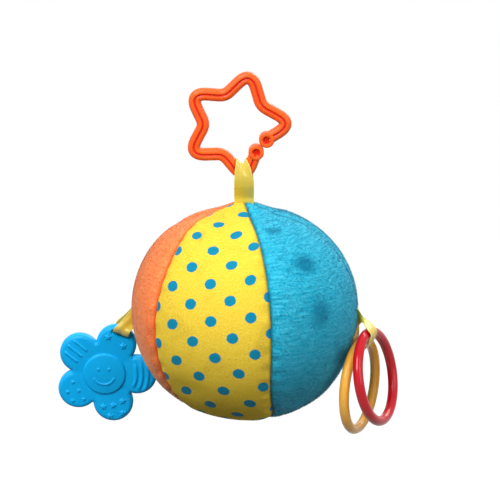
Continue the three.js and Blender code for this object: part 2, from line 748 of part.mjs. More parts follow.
function add(name, geometry, color, roughness) {
  const finished = tidy(geometry);
  finished.computeVertexNormals();
  const mesh = new THREE.Mesh(finished, new THREE.MeshStandardMaterial({ color, roughness, metalness: 0 }));
  mesh.name = name;
  toy.add(mesh);
}

const ORANGE = 0xf07a3c;
const YELLOW = 0xfde04a;
const BLUE = 0x1aa8cf;
const SATIN = 0xd8c030;

add('star_link', starLink(), 0xf15a29, 0.4);
add('ribbon_top', topRibbon(), SATIN, 0.45);
add('panel_orange', panel(0), ORANGE, 0.95);
add('panel_dots', panel(1), YELLOW, 0.95);
add('panel_blue', panel(2), BLUE, 0.95);
add('panel_back_blue', panel(3), BLUE, 0.95);
add('panel_back_dots', panel(4), YELLOW, 0.95);
add('panel_back_orange', panel(5), ORANGE, 0.95);
add('stuffing_upper', stuffing(1), 0xf4f4f0, 0.98);
add('stuffing_lower', stuffing(-1), 0xf4f4f0, 0.98);
add('rattle_upper', capsuleUpper(), 0xf0f0f0, 0.5);
add('rattle_lower', capsuleLower(), 0xf0f0f0, 0.5);
for (let k = 0; k < BEAD_COUNT; k += 1) {
  add(`rattle_bead_${k + 1}`, bead(k), 0xd8d8d8, 0.4);
}
add('ribbon_left', leftRibbon(), SATIN, 0.45);
add('flower_teether', flowerTeether(), 0x0a9fe0, 0.5);
add('ribbon_right', rightRibbon(), SATIN, 0.45);
add('ring_red', ring(redTop, RED_LEAN), 0xd01c24, 0.25);
add('ring_yellow', ring(yellowTop, 0), 0xe8a830, 0.25);

export default toy;
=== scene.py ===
import math

import bpy
import numpy as np
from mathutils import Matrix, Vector


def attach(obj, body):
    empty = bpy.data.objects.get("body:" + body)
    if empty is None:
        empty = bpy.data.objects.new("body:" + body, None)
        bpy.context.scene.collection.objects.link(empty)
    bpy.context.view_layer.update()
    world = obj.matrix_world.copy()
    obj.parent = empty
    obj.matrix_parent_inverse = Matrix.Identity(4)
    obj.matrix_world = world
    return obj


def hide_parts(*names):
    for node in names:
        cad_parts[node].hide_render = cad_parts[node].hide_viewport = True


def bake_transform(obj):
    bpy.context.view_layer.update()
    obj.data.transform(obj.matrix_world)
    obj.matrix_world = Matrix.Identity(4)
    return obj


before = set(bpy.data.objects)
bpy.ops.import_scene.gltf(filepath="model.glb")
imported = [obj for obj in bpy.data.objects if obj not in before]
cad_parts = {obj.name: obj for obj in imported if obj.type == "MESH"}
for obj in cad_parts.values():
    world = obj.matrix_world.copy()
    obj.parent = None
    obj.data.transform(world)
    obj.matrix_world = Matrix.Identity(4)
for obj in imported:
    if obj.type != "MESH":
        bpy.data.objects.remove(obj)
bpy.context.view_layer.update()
scene = bpy.context.scene
scene.view_settings.view_transform = "Standard"

# Studio: a grey floor well below the hanging toy that the camera sees as white, white all round, a
# large soft lamp at the upper left, a weak one at the right and one behind, as for a catalogue.
MM = 0.001
BALL_CENTRE = np.array([-1.749, 0.0, -118.838])
VIEW_ELEVATION = math.radians(15)
VIEW_DISTANCE = 0.9
PICTURE_PIXELS = 500
PIXEL_SIZE = 0.5286
FRAME_WIDTH = PICTURE_PIXELS * PIXEL_SIZE * MM
SENSOR_WIDTH = 36
AIM_RIGHT = 3.1
AIM_UP = 30.1
FLOOR_DROP = 0.55
FLOOR_HALF = 3.0
FLOOR_GREY = 0.08
FLOOR_LIFT = 0.96
ROOM_RISE = (-0.35, 0.9)
ROOM_FILL = (0.03, 0.95)


def colour(code):
    """A written colour such as f15a29 as linear red, green, blue and a full alpha."""
    parts = [int(code[k : k + 2], 16) / 255 for k in (0, 2, 4)]
    return [p / 12.92 if p < 0.04045 else ((p + 0.055) / 1.055) ** 2.4 for p in parts] + [1.0]


def feed(tree, made, values):
    """Sets inputs of a node to constants or links them to sockets."""
    for key, value in values.items():
        if isinstance(value, bpy.types.NodeSocket):
            tree.links.new(value, made.inputs[key])
        else:
            made.inputs[key].default_value = value


def node(tree, kind, values=None, **settings):
    """One shader node: settings are its own choices, values its inputs as constants or sockets."""
    made = tree.nodes.new(kind)
    for name, value in settings.items():
        setattr(made, name, value)
    feed(tree, made, values or {})
    return made


def maths(tree, operation, first, second=0.0):
    """The output of one Math node."""
    return node(tree, "ShaderNodeMath", {0: first, 1: second}, operation=operation).outputs[0]


def ranged(tree, value, low, high, first, last):
    """A value that runs from low to high, mapped onto first to last and held there."""
    values = {0: value, 1: low, 2: high, 3: first, 4: last}
    return node(tree, "ShaderNodeMapRange", values).outputs[0]


def blended(tree, share, first, second, way="MIX"):
    """A colour between two others, or one laid over the other, by a share from 0 to 1."""
    values = {0: share, 6: first, 7: second}
    return node(tree, "ShaderNodeMix", values, data_type="RGBA", blend_type=way).outputs[2]


def empty_tree(owner):
    """The owner's node tree, switched on and emptied."""
    owner.use_nodes = True
    owner.node_tree.nodes.clear()
    return owner.node_tree


def seen_share(tree):
    """1 for rays from the camera, in mirrors and through glass, 0 for rays that light the toy."""
    path = node(tree, "ShaderNodeLightPath")
    mirrored = maths(tree, "MAXIMUM", path.outputs["Is Camera Ray"], path.outputs["Is Glossy Ray"])
    return maths(tree, "MAXIMUM", mirrored, path.outputs["Is Transmission Ray"])


forward = np.array([0, math.cos(VIEW_ELEVATION), -math.sin(VIEW_ELEVATION)])
view_up = np.array([0, math.sin(VIEW_ELEVATION), math.cos(VIEW_ELEVATION)])
aim = (BALL_CENTRE + AIM_RIGHT * np.array([1, 0, 0]) + AIM_UP * view_up) * MM
camera_data = bpy.data.cameras.new("photo_camera")
camera_data.sensor_width = SENSOR_WIDTH
camera_data.lens = SENSOR_WIDTH * VIEW_DISTANCE / FRAME_WIDTH
camera_data.clip_start = 0.01
camera = bpy.data.objects.new("photo_camera", camera_data)
camera.location = aim - VIEW_DISTANCE * forward
camera.rotation_euler = (math.pi / 2 - VIEW_ELEVATION, 0, 0)
scene.collection.objects.link(camera)
scene.camera = camera

world = bpy.data.worlds.new("white_room")
scene.world = world
tree = empty_tree(world)
sky = node(tree, "ShaderNodeTexCoord")
rise = node(tree, "ShaderNodeSeparateXYZ", {0: sky.outputs["Generated"]})
room = ranged(tree, rise.outputs[2], *ROOM_RISE, *ROOM_FILL)
fill = node(tree, "ShaderNodeBackground", {"Strength": room})
white = node(tree, "ShaderNodeBackground", {"Color": (1, 1, 1, 1), "Strength": 1.0})
both = node(tree, "ShaderNodeMixShader", {0: seen_share(tree), 1: fill.outputs[0], 2: white.outputs[0]})
node(tree, "ShaderNodeOutputWorld", {0: both.outputs[0]})

floor_mesh = bpy.data.meshes.new("studio_floor")
floor_signs = ((-1, -1), (1, -1), (1, 1), (-1, 1))
floor_corners = [(x * FLOOR_HALF, y * FLOOR_HALF, -FLOOR_DROP) for x, y in floor_signs]
floor_mesh.from_pydata(floor_corners, [], [(0, 1, 2, 3)])
floor = bpy.data.objects.new("studio_floor", floor_mesh)
scene.collection.objects.link(floor)
paper = bpy.data.materials.new("studio_paper")
tree = empty_tree(paper)
shade = node(tree, "ShaderNodeBsdfDiffuse", {"Color": (FLOOR_GREY, FLOOR_GREY, FLOOR_GREY, 1)})
lift_share = maths(tree, "MULTIPLY", seen_share(tree), FLOOR_LIFT)
lift = node(tree, "ShaderNodeEmission", {"Strength": lift_share})
paper_sum = node(tree, "ShaderNodeAddShader", {0: shade.outputs[0], 1: lift.outputs[0]})
node(tree, "ShaderNodeOutputMaterial", {0: paper_sum.outputs[0]})
floor_mesh.materials.append(paper)


def soft_lamp(name, place, size, power):
    """A square lamp at a place in metres that faces the ball's middle."""
    lamp_data = bpy.data.lights.new(name, "AREA")
    lamp_data.size = size
    lamp_data.energy = power
    lamp = bpy.data.objects.new(name, lamp_data)
    lamp.location = place
    lamp.rotation_euler = (Vector(BALL_CENTRE * MM) - Vector(place)).to_track_quat("-Z", "Y").to_euler()
    scene.collection.objects.link(lamp)


soft_lamp("key_lamp", (-0.5, -0.75, 0.85), 0.7, 18.0)
soft_lamp("front_lamp", (0.9, -0.8, 0.45), 0.9, 6.5)
soft_lamp("rear_lamp", (0.5, 0.9, 0.6), 0.8, 10.0)

# Star link: one orange plastic bar moulded as a five-lobed star with a groove down each face,
# open at one valley between two round ends with dished faces, so it snaps over a strap.
TIP_RADIUS = 25.3
VALLEY_RADIUS = 16.4
TIP_ANGLES = np.radians([2, 75, 145, 212, 279])
TIP_CUT = 9.4
VALLEY_CUT = 3.2
TIP_HALF = math.radians(32)
ARM_WIDTH = 6.5
ARM_DEPTH = 6.2
ARM_SQUARE = 2.7
ARM_STEPS = 300
ARM_SIDES = 96
BEND_STEPS = 24
GROOVE_HALF = 0.62
GROOVE_DEPTH = 0.7
KNOB_OFFSET = 17.3
KNOB_RADIUS = 4.0
KNOB_DEPTH = 7.0
KNOB_EDGE = 0.9
KNOB_SIDES = 48
RECESS_RADIUS = 2.0
RECESS_DEPTH = 1.2
RECESS_SLOPE = 0.09
MOUTH_GAP = 0.5


def flat_polar(radius, angle):
    """Points in the upright plane at a distance and angle from its centre, the angle from +X to +Z."""
    radius, angle = np.broadcast_arrays(np.asarray(radius, float), np.asarray(angle, float))
    return np.stack([radius * np.cos(angle), np.zeros_like(angle), radius * np.sin(angle)], -1)


def unit(vectors):
    """Vectors scaled to length one."""
    return vectors / np.maximum(np.linalg.norm(vectors, axis=-1, keepdims=True), 1e-12)


def full_turn(count):
    """Angles spread evenly over one turn, without its end."""
    return np.linspace(0, 2 * math.pi, count, endpoint=False)


def reach_along(line):
    """How far along a line of points each of them lies."""
    return np.concatenate([[0], np.cumsum(np.linalg.norm(np.diff(line, axis=0), axis=-1))])


def grid_quads(rows, columns, wrap):
    """Corner numbers of the faces of a grid of points; wrap joins the last column to the first."""
    i = np.arange(rows - 1)[:, None] * columns
    j = np.arange(columns if wrap else columns - 1)[None, :]
    k = (j + 1) % columns
    return np.stack([i + j, i + columns + j, i + columns + k, i + k], -1).reshape(-1, 4)


def closed_tube(rings):
    """A grid of rings closed round its columns, with its two end rings filled from their centres.
    Gives points, four-sided faces and three-sided faces."""
    rows, columns, _ = rings.shape
    points = np.concatenate([rings.reshape(-1, 3), rings[:1].mean(1), rings[-1:].mean(1)])
    j = np.arange(columns)
    k = (j + 1) % columns
    first, last = rows * columns, rows * columns + 1
    start = np.stack([np.full(columns, first), j, k], -1)
    end = np.stack([np.full(columns, last), last - 1 - columns + k, last - 1 - columns + j], -1)
    return points, grid_quads(rows, columns, True), np.concatenate([start, end])


def outward(points, quads, tris):
    """The same faces, turned over where the shape's signed volume says that they point inwards."""
    corners = np.concatenate([quads[:, [0, 1, 2]], quads[:, [0, 2, 3]], tris])
    a, b, c = (points[corners[:, k]] for k in range(3))
    if np.einsum("ij,ij->i", a, np.cross(b, c)).sum() < 0:
        quads, tris = quads[:, ::-1], tris[:, ::-1]
    return points, quads, tris


def joined(*shapes):
    """Several shapes of points and faces put into one."""
    shift = np.cumsum([0] + [len(shape[0]) for shape in shapes[:-1]])
    points = np.concatenate([shape[0] for shape in shapes])
    quads = np.concatenate([shape[1] + s for shape, s in zip(shapes, shift)])
    tris = np.concatenate([shape[2] + s for shape, s in zip(shapes, shift)])
    return points, quads, tris


def make_piece(name, shape, material, uv=None, marks=None):
    """A mesh object from points in millimetres and faces, placed in its mesh. uv is one pair per
    point, and marks are named values per point, single ones or pairs."""
    points, quads, tris = shape
    mesh = bpy.data.meshes.new(name)
    corners = np.concatenate([quads.reshape(-1), tris.reshape(-1)]).astype(np.int32)
    sides = np.concatenate([np.full(len(quads), 4), np.full(len(tris), 3)])
    mesh.vertices.add(len(points))
    mesh.vertices.foreach_set("co", (points * MM).astype(np.float32).ravel())
    mesh.loops.add(len(corners))
    mesh.loops.foreach_set("vertex_index", corners)
    mesh.polygons.add(len(sides))
    mesh.polygons.foreach_set("loop_start", np.concatenate([[0], np.cumsum(sides)[:-1]]).astype(np.int32))
    mesh.update(calc_edges=True)
    mesh.polygons.foreach_set("use_smooth", np.ones(len(sides), bool))
    if uv is not None:
        layer = mesh.uv_layers.new(name="flat")
        layer.data.foreach_set("uv", uv[corners].astype(np.float32).ravel())
    for key, values in (marks or {}).items():
        kind = "FLOAT" if values.ndim == 1 else "FLOAT2"
        field = "value" if values.ndim == 1 else "vector"
        mesh.attributes.new(key, kind, "POINT").data.foreach_set(field, values.astype(np.float32).ravel())
    mesh.materials.append(material)
    piece = bpy.data.objects.new(name, mesh)
    scene.collection.objects.link(piece)
    return piece


def shader_group(name, inputs, outputs):
    """An empty node group with named inputs (name, kind, default) and outputs (name, kind)."""
    group = bpy.data.node_groups.new(name, "ShaderNodeTree")
    for label, kind, default in inputs:
        socket = group.interface.new_socket(label, in_out="INPUT", socket_type="NodeSocket" + kind)
        if default is not None:
            socket.default_value = default
    for label, kind in outputs:
        group.interface.new_socket(label, in_out="OUTPUT", socket_type="NodeSocket" + kind)
    return group, node(group, "NodeGroupInput"), node(group, "NodeGroupOutput")


def noise(tree, place, scale, detail, **more):
    """The grey of one noise texture."""
    values = {"Vector": place, "Scale": scale, "Detail": detail} | more
    return node(tree, "ShaderNodeTexNoise", values).outputs[0]


def moulded_group():
    """Moulded plastic: the colour drifts a little in soft clouds, fine haze dulls the gloss in
    patches, and a very low ripple stands for the skin of the mould."""
    group, given, out = shader_group(
        "moulded_plastic",
        [
            ("Place", "Vector", None),
            ("Colour", "Color", None),
            ("Deep", "Color", None),
            ("Haze", "Float", 0.35),
        ],
        [("Colour", "Color"), ("Roughness", "Float"), ("Height", "Float")],
    )
    cloud = noise(group, given.outputs["Place"], 60.0, 3.0)
    grain = noise(group, given.outputs["Place"], 900.0, 2.0)
    share = ranged(group, cloud, 0.35, 0.75, 0.0, 0.45)
    tone = blended(group, share, given.outputs["Colour"], given.outputs["Deep"])
    dull = maths(group, "MULTIPLY", grain, 0.16)
    rough = maths(group, "ADD", dull, maths(group, "SUBTRACT", given.outputs["Haze"], 0.08))
    coarse = maths(group, "MULTIPLY", cloud, 0.8)
    wave = maths(group, "ADD", coarse, maths(group, "MULTIPLY", grain, 0.2))
    feed(group, out, {"Colour": tone, "Roughness": rough, "Height": wave})
    return group


moulded = moulded_group()


def start_material(name):
    """A new material: its tree, its Principled shader, and the object's own coordinates."""
    material = bpy.data.materials.new(name)
    tree = empty_tree(material)
    shader = node(tree, "ShaderNodeBsdfPrincipled")
    node(tree, "ShaderNodeOutputMaterial", {0: shader.outputs[0]})
    place = node(tree, "ShaderNodeTexCoord").outputs["Object"]
    return material, tree, shader, place


def set_bump(tree, shader, height, strength, depth):
    """Feeds a height into the shader's normal."""
    bump = node(tree, "ShaderNodeBump", {"Height": height, "Strength": strength, "Distance": depth})
    feed(tree, shader, {"Normal": bump.outputs[0]})


def plastic(name, tone, deep, haze, gloss=0.3, groove=None):
    """Moulded plastic of one tone; a deeper groove colour is laid as painted shade where the piece's groove
    mark says.
    """
    material, tree, shader, place = start_material(name)
    look = {"Place": place, "Colour": colour(tone), "Deep": colour(deep), "Haze": haze}
    skin = node(tree, "ShaderNodeGroup", look, node_tree=moulded)
    tint = skin.outputs["Colour"]
    # Painted shade: the groove colour stands for the deeper red that the light takes in grooves and
    # hollows.
    if groove:
        mark = node(tree, "ShaderNodeAttribute", attribute_name="groove").outputs["Fac"]
        tint = blended(tree, mark, tint, colour(groove))
    values = {
        "Base Color": tint,
        "Roughness": skin.outputs["Roughness"],
        "IOR": 1.4,
        "Specular IOR Level": gloss,
        "Subsurface Weight": 0.12,
        "Subsurface Radius": (0.004, 0.002, 0.001),
        "Subsurface Scale": 0.4,
    }
    feed(tree, shader, values)
    set_bump(tree, shader, skin.outputs["Height"], 0.2, 0.0003)
    return material


star_centre = flat_polar(ARM_WIDTH / 2 - TIP_RADIUS, TIP_ANGLES[1])
mouth_angle = (TIP_ANGLES[0] + TIP_ANGLES[4] - 2 * math.pi) / 2
knob_spread = math.asin((KNOB_RADIUS + MOUTH_GAP / 2) / KNOB_OFFSET)
knob_centres = flat_polar(KNOB_OFFSET, mouth_angle + np.array([knob_spread, -knob_spread])) + star_centre


def star_path(count):
    """Straight arms between tips and valleys, each corner rounded by a parabola that starts and
    ends TIP_CUT or VALLEY_CUT from it, then points spaced evenly along the whole."""
    tips = flat_polar(TIP_RADIUS + TIP_CUT * math.cos(TIP_HALF) / 2, TIP_ANGLES)
    valleys = flat_polar(VALLEY_RADIUS, (TIP_ANGLES[:-1] + TIP_ANGLES[1:]) / 2)
    corners = np.empty((9, 3))
    corners[0::2] = tips
    corners[1::2] = valleys
    corners = np.concatenate([knob_centres[:1], corners + star_centre, knob_centres[1:]])
    middle = corners[1:-1]
    cut = np.where(np.arange(9) % 2 == 0, TIP_CUT, VALLEY_CUT)[:, None]
    before = middle + cut * unit(corners[:-2] - middle)
    after = middle + cut * unit(corners[2:] - middle)
    t = np.linspace(0, 1, BEND_STEPS)[None, :, None]
    bends = (1 - t) ** 2 * before[:, None] + 2 * t * (1 - t) * middle[:, None] + t**2 * after[:, None]
    line = np.concatenate([corners[:1], bends.reshape(-1, 3), corners[-1:]])
    reach = reach_along(line)
    even = np.linspace(1.0, reach[-1] - 1.0, count)
    return np.stack([np.interp(even, reach, line[:, k]) for k in range(3)], -1)


def star_arm(line):
    """The bar's section carried along its path: a rounded square, |w|^n + |d|^n = 1, with a groove
    in each face. Gives the shape and how deep in the groove each point lies, which also places the painted
    groove shade."""
    turn = full_turn(ARM_SIDES)
    bend = 2 / ARM_SQUARE
    wide = np.sign(np.cos(turn)) * np.abs(np.cos(turn)) ** bend * ARM_WIDTH / 2
    deep = np.sign(np.sin(turn)) * np.abs(np.sin(turn)) ** bend * ARM_DEPTH / 2
    groove = np.exp(-((wide / GROOVE_HALF) ** 4)) * (np.abs(deep) > ARM_DEPTH / 4)
    deep = deep - np.sign(deep) * GROOVE_DEPTH * groove
    along = unit(np.gradient(line, axis=0))
    aside = np.stack([along[:, 2], np.zeros(len(line)), -along[:, 0]], -1)
    rings = line[:, None] + wide[None, :, None] * aside[:, None] + deep[None, :, None] * np.array([0, 1, 0])
    shape = outward(*closed_tube(rings))
    return shape, np.concatenate([np.tile(groove, len(line)), [0, 0]])


def turned(profile, centre, sides):
    """A profile of radius and depth turned round an axis along Y through a centre."""
    turn = full_turn(sides)
    radius, depth = profile[:, :1], np.repeat(profile[:, 1:], sides, 1)
    rings = np.stack([radius * np.cos(turn), depth, radius * np.sin(turn)], -1)
    return outward(*closed_tube(rings + centre))


def knob_profile():
    """Half a round end from its dished face to its rim, then the same mirrored. The dish is a
    smooth step of RECESS_DEPTH at RECESS_RADIUS, and the rim a quarter round."""
    radius = np.linspace(0.05, KNOB_RADIUS - KNOB_EDGE, 26)
    step = 1 / (1 + np.exp(-(radius - RECESS_RADIUS) / RECESS_SLOPE))
    face = KNOB_DEPTH / 2 - RECESS_DEPTH * (1 - step)
    turn = np.linspace(0, math.pi / 2, 8)[1:]
    corner = np.array([KNOB_RADIUS, KNOB_DEPTH / 2]) - KNOB_EDGE
    rim = corner + KNOB_EDGE * np.stack([np.sin(turn), np.cos(turn)], -1)
    half = np.concatenate([np.stack([radius, face], -1), rim])
    return np.concatenate([half, half[::-1] * np.array([1, -1])])


# The groove colour d8200c is painted shade, laid in the grooves and on the round ends' dished faces.
link_plastic = plastic("link_plastic", "f5611f", "ec4f14", 0.36, groove="d8200c")
arm_line = star_path(ARM_STEPS)
arm_shape, arm_groove_shade = star_arm(arm_line)
knob = knob_profile()
knob_shapes = [turned(knob, centre, KNOB_SIDES) for centre in knob_centres]
# Painted shade on the dished faces of the round ends, in the groove colour.
knob_recess_shade = np.repeat(np.abs(knob[:, 0]) < RECESS_RADIUS, KNOB_SIDES).astype(float)
knob_recess_shades = np.concatenate([knob_recess_shade, [1, 1]])
star_link = make_piece(
    "star_link_bar",
    joined(arm_shape, *knob_shapes),
    link_plastic,
    marks={"groove": np.concatenate([arm_groove_shade, knob_recess_shades, knob_recess_shades])},
)
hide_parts("star_link")
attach(star_link, "link")

# Rattle: a pale plastic capsule of two half shells closed on each other, with five hard beads
# loose in it, buried in the middle of the stuffing so that the ball sounds when it swings.
rattle_plastic = plastic("rattle_plastic", "f0f0ee", "e2e4e6", 0.45)
bead_plastic = plastic("bead_plastic", "dcdcda", "c8cacc", 0.3)
rattle_looks = {"rattle_upper": rattle_plastic, "rattle_lower": rattle_plastic}
rattle_looks |= {f"rattle_bead_{k}": bead_plastic for k in range(1, 6)}
for name, look in rattle_looks.items():
    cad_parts[name].data.materials.clear()
    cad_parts[name].data.materials.append(look)

# Stuffing: two white wads of polyester fibre that fill the ball under its skin and meet round
# the rattle, pressed in a little where the ribbons' tails are sewn through the skin.
BALL_RADIUS = 60.0
SHOULDER_DROP = 6.0
SHOULDER_SPREAD = 0.9
PEAK_RISE = 4.5
PEAK_SPREAD = 0.2
SAG_SWELL = 2.0
SAG_DIRECTION = np.array([0.57, 0.0, -0.82])
SEAM_ANGLES = np.radians([-110, -50.5, 13.5, 84, 139, 194])
SEAM_BOW = np.radians([0, -50, 0, 0, 0, 0])
BOW_SPREAD = 0.55
FOOT_BOW = np.radians([0, -24, 34, 0, 0, 0])
FOOT_SPREAD = 0.62
SEAM_DIP = 1.2
SEAM_SPREAD = 4.0
SKIN = 2.0
FIT_GAP = 0.3
CAPSULE_RADIUS = 16.0
LEFT_STITCH_DROP = 7.0
RIGHT_STITCH_DROP = 4.0
WAD_SIDES = 96
WAD_INSET = 0.6
LUMP_SIZE = 22
LUMP_HEIGHT = 0.5
LUMP_SEED = 4
DIMPLE_DEPTH = 4
DIMPLE_SPREAD = 7


def ball_direction(polar, azimuth):
    """Unit vectors: polar from the top down, azimuth from the front towards +X."""
    flat, upright = np.sin(polar), np.cos(polar) * np.ones_like(azimuth)
    return np.stack([flat * np.sin(azimuth), -flat * np.cos(azimuth), upright], -1)


def smooth_radius(polar, azimuth):
    """A sphere with sloping shoulders, a drawn-up top where the ribbon pulls, and a low swelling."""
    shoulder = SHOULDER_DROP * np.exp(-((polar / SHOULDER_SPREAD) ** 2))
    peak = PEAK_RISE * np.exp(-((polar / PEAK_SPREAD) ** 2))
    sag = SAG_SWELL * np.maximum(0, ball_direction(polar, azimuth) @ SAG_DIRECTION) ** 12
    return BALL_RADIUS - shoulder + peak + sag


def seam_azimuth(seam, polar):
    """A seam's azimuth at each height: its own angle, bowed to one side near the top and near the
    foot as bell curves of the polar angle. Seams are counted on past a full turn."""
    high = SEAM_BOW[seam % 6] * np.exp(-((polar / BOW_SPREAD) ** 2))
    low = FOOT_BOW[seam % 6] * np.exp(-(((math.pi - polar) / FOOT_SPREAD) ** 2))
    return SEAM_ANGLES[seam % 6] + high + low + 2 * math.pi * (seam // 6)


def wrapped(angle):
    """The same angle, between half a turn back and half a turn on."""
    return (angle + math.pi) % (2 * math.pi) - math.pi


def seam_distance(polar, azimuth):
    """Distance along the ball to the nearest seam, in millimetres."""
    seams = np.stack([seam_azimuth(k, polar) for k in range(6)], -1)
    apart = np.abs(wrapped(azimuth[..., None] - seams)).min(-1)
    return apart * BALL_RADIUS * np.sin(polar)


def ball_radius(polar, azimuth):
    """The smooth shape less a rounded dip along every seam."""
    dip = SEAM_DIP * np.exp(-((seam_distance(polar, azimuth) / SEAM_SPREAD) ** 2))
    return smooth_radius(polar, azimuth) - dip


def ball_point(polar, azimuth, inset=0.0):
    """A place on the ball, or under its surface by an inset."""
    radius = ball_radius(polar, azimuth) - inset
    return BALL_CENTRE + radius[..., None] * ball_direction(polar, azimuth)


def seam_place(seam, drop):
    """A place on one seam, given by how far it lies below the ball's middle."""
    polar = np.array(math.pi / 2 + math.asin(drop / BALL_RADIUS))
    return ball_point(polar, np.array(SEAM_ANGLES[seam]))


left_stitch = seam_place(0, LEFT_STITCH_DROP)
right_stitch = seam_place(3, RIGHT_STITCH_DROP)
top_stitch = ball_point(np.array(0.0), np.array(0.0))


def lumps(points, size, seed):
    """Soft lumps: a sum of sine waves in fixed pseudo-random directions, about -1 to 1."""
    chance = np.random.default_rng(seed)
    ways = unit(chance.normal(size=(9, 3))) * chance.uniform(0.6, 1.5, (9, 1)) * 2 * math.pi / size
    return np.sin(points @ ways.T + chance.uniform(0, 2 * math.pi, 9)).mean(-1) * 1.6


def wad(side):
    """Half the ball's inside: a dome of lumps from pole to middle, a flat ring, and a half round
    pocket for the rattle, turned round the upright axis."""
    azimuth = full_turn(WAD_SIDES)
    polar = np.linspace(0.02, math.pi / 2, 40)[:, None] * np.ones(WAD_SIDES)
    polar = polar if side > 0 else math.pi - polar
    around = azimuth + np.zeros_like(polar)
    depth = SEAM_DIP + SKIN + 3 * FIT_GAP + WAD_INSET
    way = ball_direction(polar, around)
    radius = smooth_radius(polar, around) - depth
    radius = radius - LUMP_HEIGHT * (1 + lumps(way * BALL_RADIUS, LUMP_SIZE, LUMP_SEED))
    for stitch in (left_stitch, right_stitch, top_stitch):
        apart = np.linalg.norm(way * BALL_RADIUS - (stitch - BALL_CENTRE), axis=-1)
        radius = radius - DIMPLE_DEPTH * np.exp(-((apart / DIMPLE_SPREAD) ** 2))
    dome = BALL_CENTRE + radius[..., None] * way
    dome[-1, :, 2] = BALL_CENTRE[2] + side * FIT_GAP
    rise = np.linspace(0.02, math.pi / 2 - 0.02, 16)[:, None]
    bowl = (CAPSULE_RADIUS + 2 * FIT_GAP) * ball_direction(math.pi / 2 - side * rise, azimuth)
    return outward(*closed_tube(np.concatenate([dome, bowl + BALL_CENTRE])))


def wadding_material():
    """White fibre fill: tangled strands as stretched noise in colour and height, dull all over."""
    material, tree, shader, place = start_material("fibre_fill")
    strand = noise(tree, place, 420.0, 5.0, Distortion=2.5)
    tint = blended(tree, strand, colour("e6e6e0"), colour("fbfbf8"))
    feed(tree, shader, {"Base Color": tint, "Roughness": 0.95, "Specular IOR Level": 0.1})
    set_bump(tree, shader, strand, 0.8, 0.0012)
    return material


fibre_fill = wadding_material()
for name, side in (("upper", 1), ("lower", -1)):
    wadding = make_piece(f"stuffing_wad_{name}", wad(side), fibre_fill)
    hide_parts(f"stuffing_{name}")
    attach(wadding, "ball")

# Ball skin: six gores of knitted plush, sewn right sides together and turned out, so every seam
# sinks in. The fill's push is a cloth run with the seams held; the gores are cut from its result.
GORE_TIP = 1.6
GORE_STEPS = 14
GORE_ROWS = 44
START_SLACK = 1.4
SWELL_CAP = 3.0
DRAWN_IN = 0.95
FOOT_DRAWN_IN = 1.15
SMOOTH_PASSES = 4
SWELL_FRAMES = 20
FIRST_POLAR = GORE_TIP / BALL_RADIUS


def slack_ball():
    """The ball before it is filled: its own radius less START_SLACK in the middle of each gore, on
    rows from pole to pole and columns that run from seam to seam."""
    polar = np.linspace(FIRST_POLAR, math.pi - FIRST_POLAR, GORE_ROWS)
    seams = np.stack([seam_azimuth(k, polar) for k in range(7)], -1)
    share = np.arange(GORE_STEPS) / GORE_STEPS
    grid_azimuth = (seams[:, :-1, None] + np.diff(seams, axis=1)[..., None] * share).reshape(GORE_ROWS, -1)
    grid_polar = polar[:, None] + np.zeros_like(grid_azimuth)
    inset = START_SLACK * np.tile(np.sin(math.pi * share), 6) * np.sin(grid_polar)
    return ball_point(grid_polar, grid_azimuth, inset)


def swollen(rings):
    """Cloth pressure on the slack ball with its seams and poles held, then each point's movement
    held to SWELL_CAP, less near the top, where the tails draw the skin in, and near the foot. Gives
    the movement in millimetres on the same grid."""
    rows, columns, _ = rings.shape
    blank = bpy.data.materials.new("cloth_run")
    skin = make_piece("cloth_run", outward(*closed_tube(rings)), blank)
    held = skin.vertex_groups.new(name="sewn")
    numbers = np.arange(rows * columns).reshape(rows, columns)
    poles = [rows * columns, rows * columns + 1]
    fixed = np.concatenate([numbers[:, ::GORE_STEPS].ravel(), numbers[0], numbers[-1], poles])
    held.add([int(k) for k in fixed], 1.0, "REPLACE")
    cloth = skin.modifiers.new("Cloth", "CLOTH")
    cloth.settings.quality = 6
    cloth.settings.mass = 0.15
    cloth.settings.use_pressure = True
    cloth.settings.uniform_pressure_force = 4.0
    cloth.settings.vertex_group_mass = "sewn"
    cloth.settings.shrink_min = -0.02
    cloth.settings.effector_weights.gravity = 0.0
    cloth.collision_settings.use_collision = False
    cloth.point_cache.frame_start = 1
    cloth.point_cache.frame_end = SWELL_FRAMES
    for step in range(1, SWELL_FRAMES + 1):
        scene.frame_set(step)
    result = skin.evaluated_get(bpy.context.evaluated_depsgraph_get())
    places = np.empty(len(skin.data.vertices) * 3, np.float32)
    result.data.vertices.foreach_get("co", places)
    moved = places.reshape(-1, 3)[: rows * columns].reshape(rows, columns, 3) / MM - rings
    scene.frame_set(1)
    bpy.data.objects.remove(skin)
    for _ in range(SMOOTH_PASSES):
        beside = np.roll(moved, 1, 1) + np.roll(moved, -1, 1)
        moved = 0.5 * moved + 0.125 * (beside + np.roll(moved, 1, 0) + np.roll(moved, -1, 0))
    length = np.linalg.norm(moved, axis=-1, keepdims=True)
    polar = np.linspace(FIRST_POLAR, math.pi - FIRST_POLAR, rows)[:, None, None]
    high = 1 - np.exp(-((polar / DRAWN_IN) ** 3))
    low = 1 - np.exp(-(((math.pi - polar) / FOOT_DRAWN_IN) ** 3))
    return moved * np.minimum(1, SWELL_CAP * high * low / np.maximum(length, 1e-9))


def cubic_weights(places, count):
    """Rows of weights that read values at fractional places along a line of count values, by the
    cubic through four neighbours."""
    base = np.clip(np.floor(places).astype(int), 0, count - 2)
    t = places - base
    four = np.stack(
        [
            (-t + 2 * t**2 - t**3) / 2,
            (2 - 5 * t**2 + 3 * t**3) / 2,
            (t + 4 * t**2 - 3 * t**3) / 2,
            (-(t**2) + t**3) / 2,
        ],
        -1,
    )
    weights = np.zeros((len(places), count))
    for k in range(4):
        np.add.at(weights, (np.arange(len(places)), np.clip(base + k - 1, 0, count - 1)), four[:, k])
    return weights


slack_rings = slack_ball()
swell = swollen(slack_rings)

